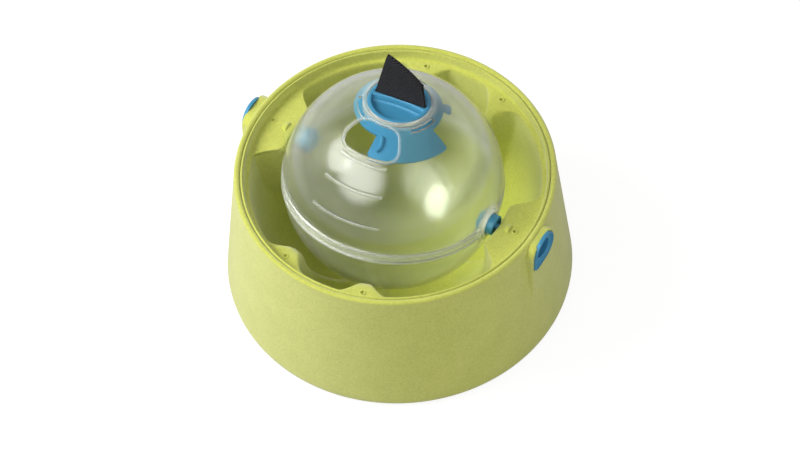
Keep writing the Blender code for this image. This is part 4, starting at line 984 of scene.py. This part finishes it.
def makeTab(centre):
    ring = tab["anchor"] + tab["anchorGap"] + tab["thick"] / 2
    halfGap = (tab["thick"] + tab["leafGap"]) / 2
    base, bend, columns = cap["top"] + 0.3, tab["bend"], tab["columns"]
    tops = smoothRows(tab["tops"], 6)

    def section(top):
        # one leaf up from under the anchor, over the fold, and the other leaf down again
        right = arc((0, centre), ring, -90, asin(sqrt(1 - (halfGap / ring) ** 2)) * 180 / pi, 10)
        right += [(halfGap, base - 3), (halfGap, base)]
        for i in range(1, tab["rows"]):
            share = i / tab["rows"]
            right.append((halfGap + (bend - halfGap) * share ** 3, base + (top - bend - base) * share))
        right += arc((0, top - bend), bend, 0, 90, 6)
        return right + [(-y, z) for y, z in reversed(right[1:-1])]

    rows = []
    for column in range(columns):
        share = column / (columns - 1)
        at = share * (len(tops) - 1)
        low = int(min(at, len(tops) - 2))
        rise = tops[low][1] + (tops[low + 1][1] - tops[low][1]) * (at - low)
        lean = tab["lean"][0] * (1 - share) + tab["lean"][1] * share
        row = []
        for y, z in section(cap["top"] + tab["height"] * rise):
            climb = max(0.0, z - cap["top"]) / (tab["height"] * rise)
            wave = tab["wave"] * sin(share * 5.0 + 1.0) * climb * (1 - climb)
            row.append((tab["width"] * (share + lean * climb - 0.5), y + cap["ribShift"] + wave, z))
        rows.append(row)
    holder = linked("tab", loft(rows, "open"))
    wall = holder.modifiers.new("Thickness", "SOLIDIFY")
    wall.thickness = tab["thick"] * tab["drawnThick"]
    wall.offset = 0.0
    mesh = baked(holder)
    phases = [2 * pi * (vertex.co.z - cap["top"]) / tab["yarnPitch"] for vertex in mesh.vertices]
    setFloats(mesh, "yarn", phases)
    spots = [(vertex.co.copy(), vertex.normal.copy()) for vertex in mesh.vertices]
    for vertex, phase, (place, normal) in zip(mesh.vertices, phases, spots):
        # weft ribs across the strap, up from the cap
        vertex.co = place + normal * (tab["yarnRise"] * sin(phase) * eased(place.z - base) * abs(normal.y))
    item = placePiece("pullTab", mesh, webbing, "cap", ["pull_tab"], capPlace, crease=50)
    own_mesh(item)


makeTab(makeCap())
print("shutter, cap and tab made")

studio = {
    "white": 1.0, "zenith": 0.4, "horizon": 0.6, "wallTop": 0.9, "ceiling": 0.15, "ceilingFrom": (0.1, 0.6),
    "floor": 0.45, "paper": 0.95, "glow": 1.17, "glowShare": 0.75, "floorRadius": 3.0, "floorRough": 0.9,
    # round soft boxes that light: where they stand from the ball, how wide they are, their power
    "boxes": [("leftBox", (-0.97, -0.58, 0.98), 0.9, 20.0), ("rightBox", (1.42, -0.33, 0.3), 0.9, 3.0)],
    # what polished faces mirror: the direction, the cosines of its dark and bright edges, its level
    "mirrored": [((-0.205, -0.7, 0.685), 0.86, 0.99, 6.5), ((0.94, 0.083, 0.33), 0.82, 0.99, 0.8)],
    "aim": (0.0, 0.0, 0.101),
}
photo = {
    # solved from the rim, the foot and the ball in the photograph
    "right": (0.858568, 0.511755, -0.031098), "up": (-0.401695, 0.709134, 0.579457),
    "back": (0.318593, -0.485011, 0.814409), "place": (0.697138, -1.058738, 1.824211),
    "lens": 135.0, "sensor": 36.0, "near": 0.05, "far": 20.0,
}


def directRays(tree, path, kinds):
    # 1 on rays of these kinds that haven't met a matt surface yet
    seen = path.outputs[kinds[0]]
    for kind in kinds[1:]:
        seen = addNode(tree, "ShaderNodeMath", {0: seen, 1: path.outputs[kind]}, operation="MAXIMUM")
    depth = path.outputs["Diffuse Depth"]
    direct = addNode(tree, "ShaderNodeMath", {0: depth, 1: 0.5}, operation="LESS_THAN")
    return addNode(tree, "ShaderNodeMath", {0: seen, 1: direct}, operation="MULTIPLY")


def makeWorld():
    world = bpy.data.worlds.new("studioWorld")
    bpy.context.scene.world = world
    world.use_nodes = True
    tree = world.node_tree
    tree.nodes.clear()
    path = addNode(tree, "ShaderNodeLightPath")
    seen = directRays(tree, path, ("Is Camera Ray", "Is Transmission Ray", "Is Glossy Ray"))
    # a room with pale walls and a darker ceiling
    aim = addNode(tree, "ShaderNodeTexCoord").outputs["Generated"]
    height = addNode(tree, "ShaderNodeSeparateXYZ", {"Vector": aim}).outputs["Z"]
    level = addNode(tree, "ShaderNodeMapRange", {
        "Value": height, "From Min": 0.0, "From Max": studio["wallTop"], "To Min": studio["horizon"],
        "To Max": studio["zenith"]})
    soft = addNode(tree, "ShaderNodeBackground", {"Color": white, "Strength": level})
    extra = 0.0
    for direction, dark, lit, strength in studio["mirrored"]:
        near = addNode(tree, "ShaderNodeVectorMath", {0: aim, 1: direction}, operation="DOT_PRODUCT")
        lobe = addNode(tree, "ShaderNodeMapRange", {
            "Value": near.outputs["Value"], "From Min": dark, "From Max": lit, "To Max": strength},
            interpolation_type="SMOOTHSTEP")
        extra = addNode(tree, "ShaderNodeMath", {0: lobe, 1: extra}, operation="ADD")
    low, high = studio["ceilingFrom"]
    gloss = addNode(tree, "ShaderNodeMapRange", {
        "Value": height, "From Min": low, "From Max": high, "To Min": studio["white"],
        "To Max": studio["ceiling"]})
    gloss = addNode(tree, "ShaderNodeMath", {0: gloss, 1: extra}, operation="ADD")
    bright = addNode(tree, "ShaderNodeMix", {
        "Factor": path.outputs["Is Glossy Ray"], "A": studio["white"], "B": gloss})
    bright = addNode(tree, "ShaderNodeBackground", {"Color": white, "Strength": bright})
    mix = addNode(tree, "ShaderNodeMixShader", {0: seen, 1: soft, 2: bright})
    addNode(tree, "ShaderNodeOutputWorld", {"Surface": mix})


def makeFloor():
    # a matt white sheet that the camera sees nearly at paper white, with the object's shadow kept
    material, tree, shader = newMaterial("whiteSweep", {"shader": {"Roughness": studio["floorRough"]}})
    path = addNode(tree, "ShaderNodeLightPath")
    dull, paper = ((*[studio[name]] * 3, 1.0) for name in ("floor", "paper"))
    paper = addNode(tree, "ShaderNodeMix", {
        "Factor": path.outputs["Is Camera Ray"], "A": dull, "B": paper}, data_type="RGBA")
    setInputs(shader, {"Base Color": paper.outputs["Result"]})
    seen = directRays(tree, path, ("Is Camera Ray", "Is Transmission Ray"))
    share = addNode(tree, "ShaderNodeMath", {0: seen, 1: studio["glowShare"]}, operation="MULTIPLY")
    glow = addNode(tree, "ShaderNodeEmission", {"Color": white, "Strength": studio["glow"]})
    mix = addNode(tree, "ShaderNodeMixShader", {0: share, 1: shader, 2: glow})
    # seen from below the sheet is not there, so that the underside shows
    below = addNode(tree, "ShaderNodeNewGeometry").outputs["Backfacing"]
    away = addNode(tree, "ShaderNodeBsdfTransparent", {"Color": white})
    mix = addNode(tree, "ShaderNodeMixShader", {0: below, 1: mix, 2: away})
    setInputs(tree.nodes["Material Output"], {"Surface": mix})
    builder = bmesh.new()
    bmesh.ops.create_circle(builder, cap_ends=True, segments=96, radius=studio["floorRadius"])
    mesh = asMesh(builder)
    mesh.materials.append(material)
    linked("floor", mesh)


def makeLights():
    for name, place, size, power in studio["boxes"]:
        light = bpy.data.lights.new(name, "AREA")
        light.shape = "DISK"
        light.size = size
        light.energy = power
        item = linked(name, light)
        item.location = Vector(studio["aim"]) + Vector(place)
        item.rotation_euler = Vector(place).to_track_quat("Z", "Y").to_euler()
        item.visible_glossy = False


def makeCamera():
    camera = bpy.data.cameras.new("photoCamera")
    camera.lens = photo["lens"]
    camera.sensor_width = photo["sensor"]
    camera.clip_start, camera.clip_end = photo["near"], photo["far"]
    item = linked("photoCamera", camera)
    rows = [[photo[name][i] for name in ("right", "up", "back", "place")] for i in range(3)]
    item.matrix_world = Matrix(rows + [[0, 0, 0, 1]])
    bpy.context.scene.camera = item


bpy.context.scene.view_settings.view_transform = "Standard"
makeWorld()
makeFloor()
makeLights()
makeCamera()
print("studio made")
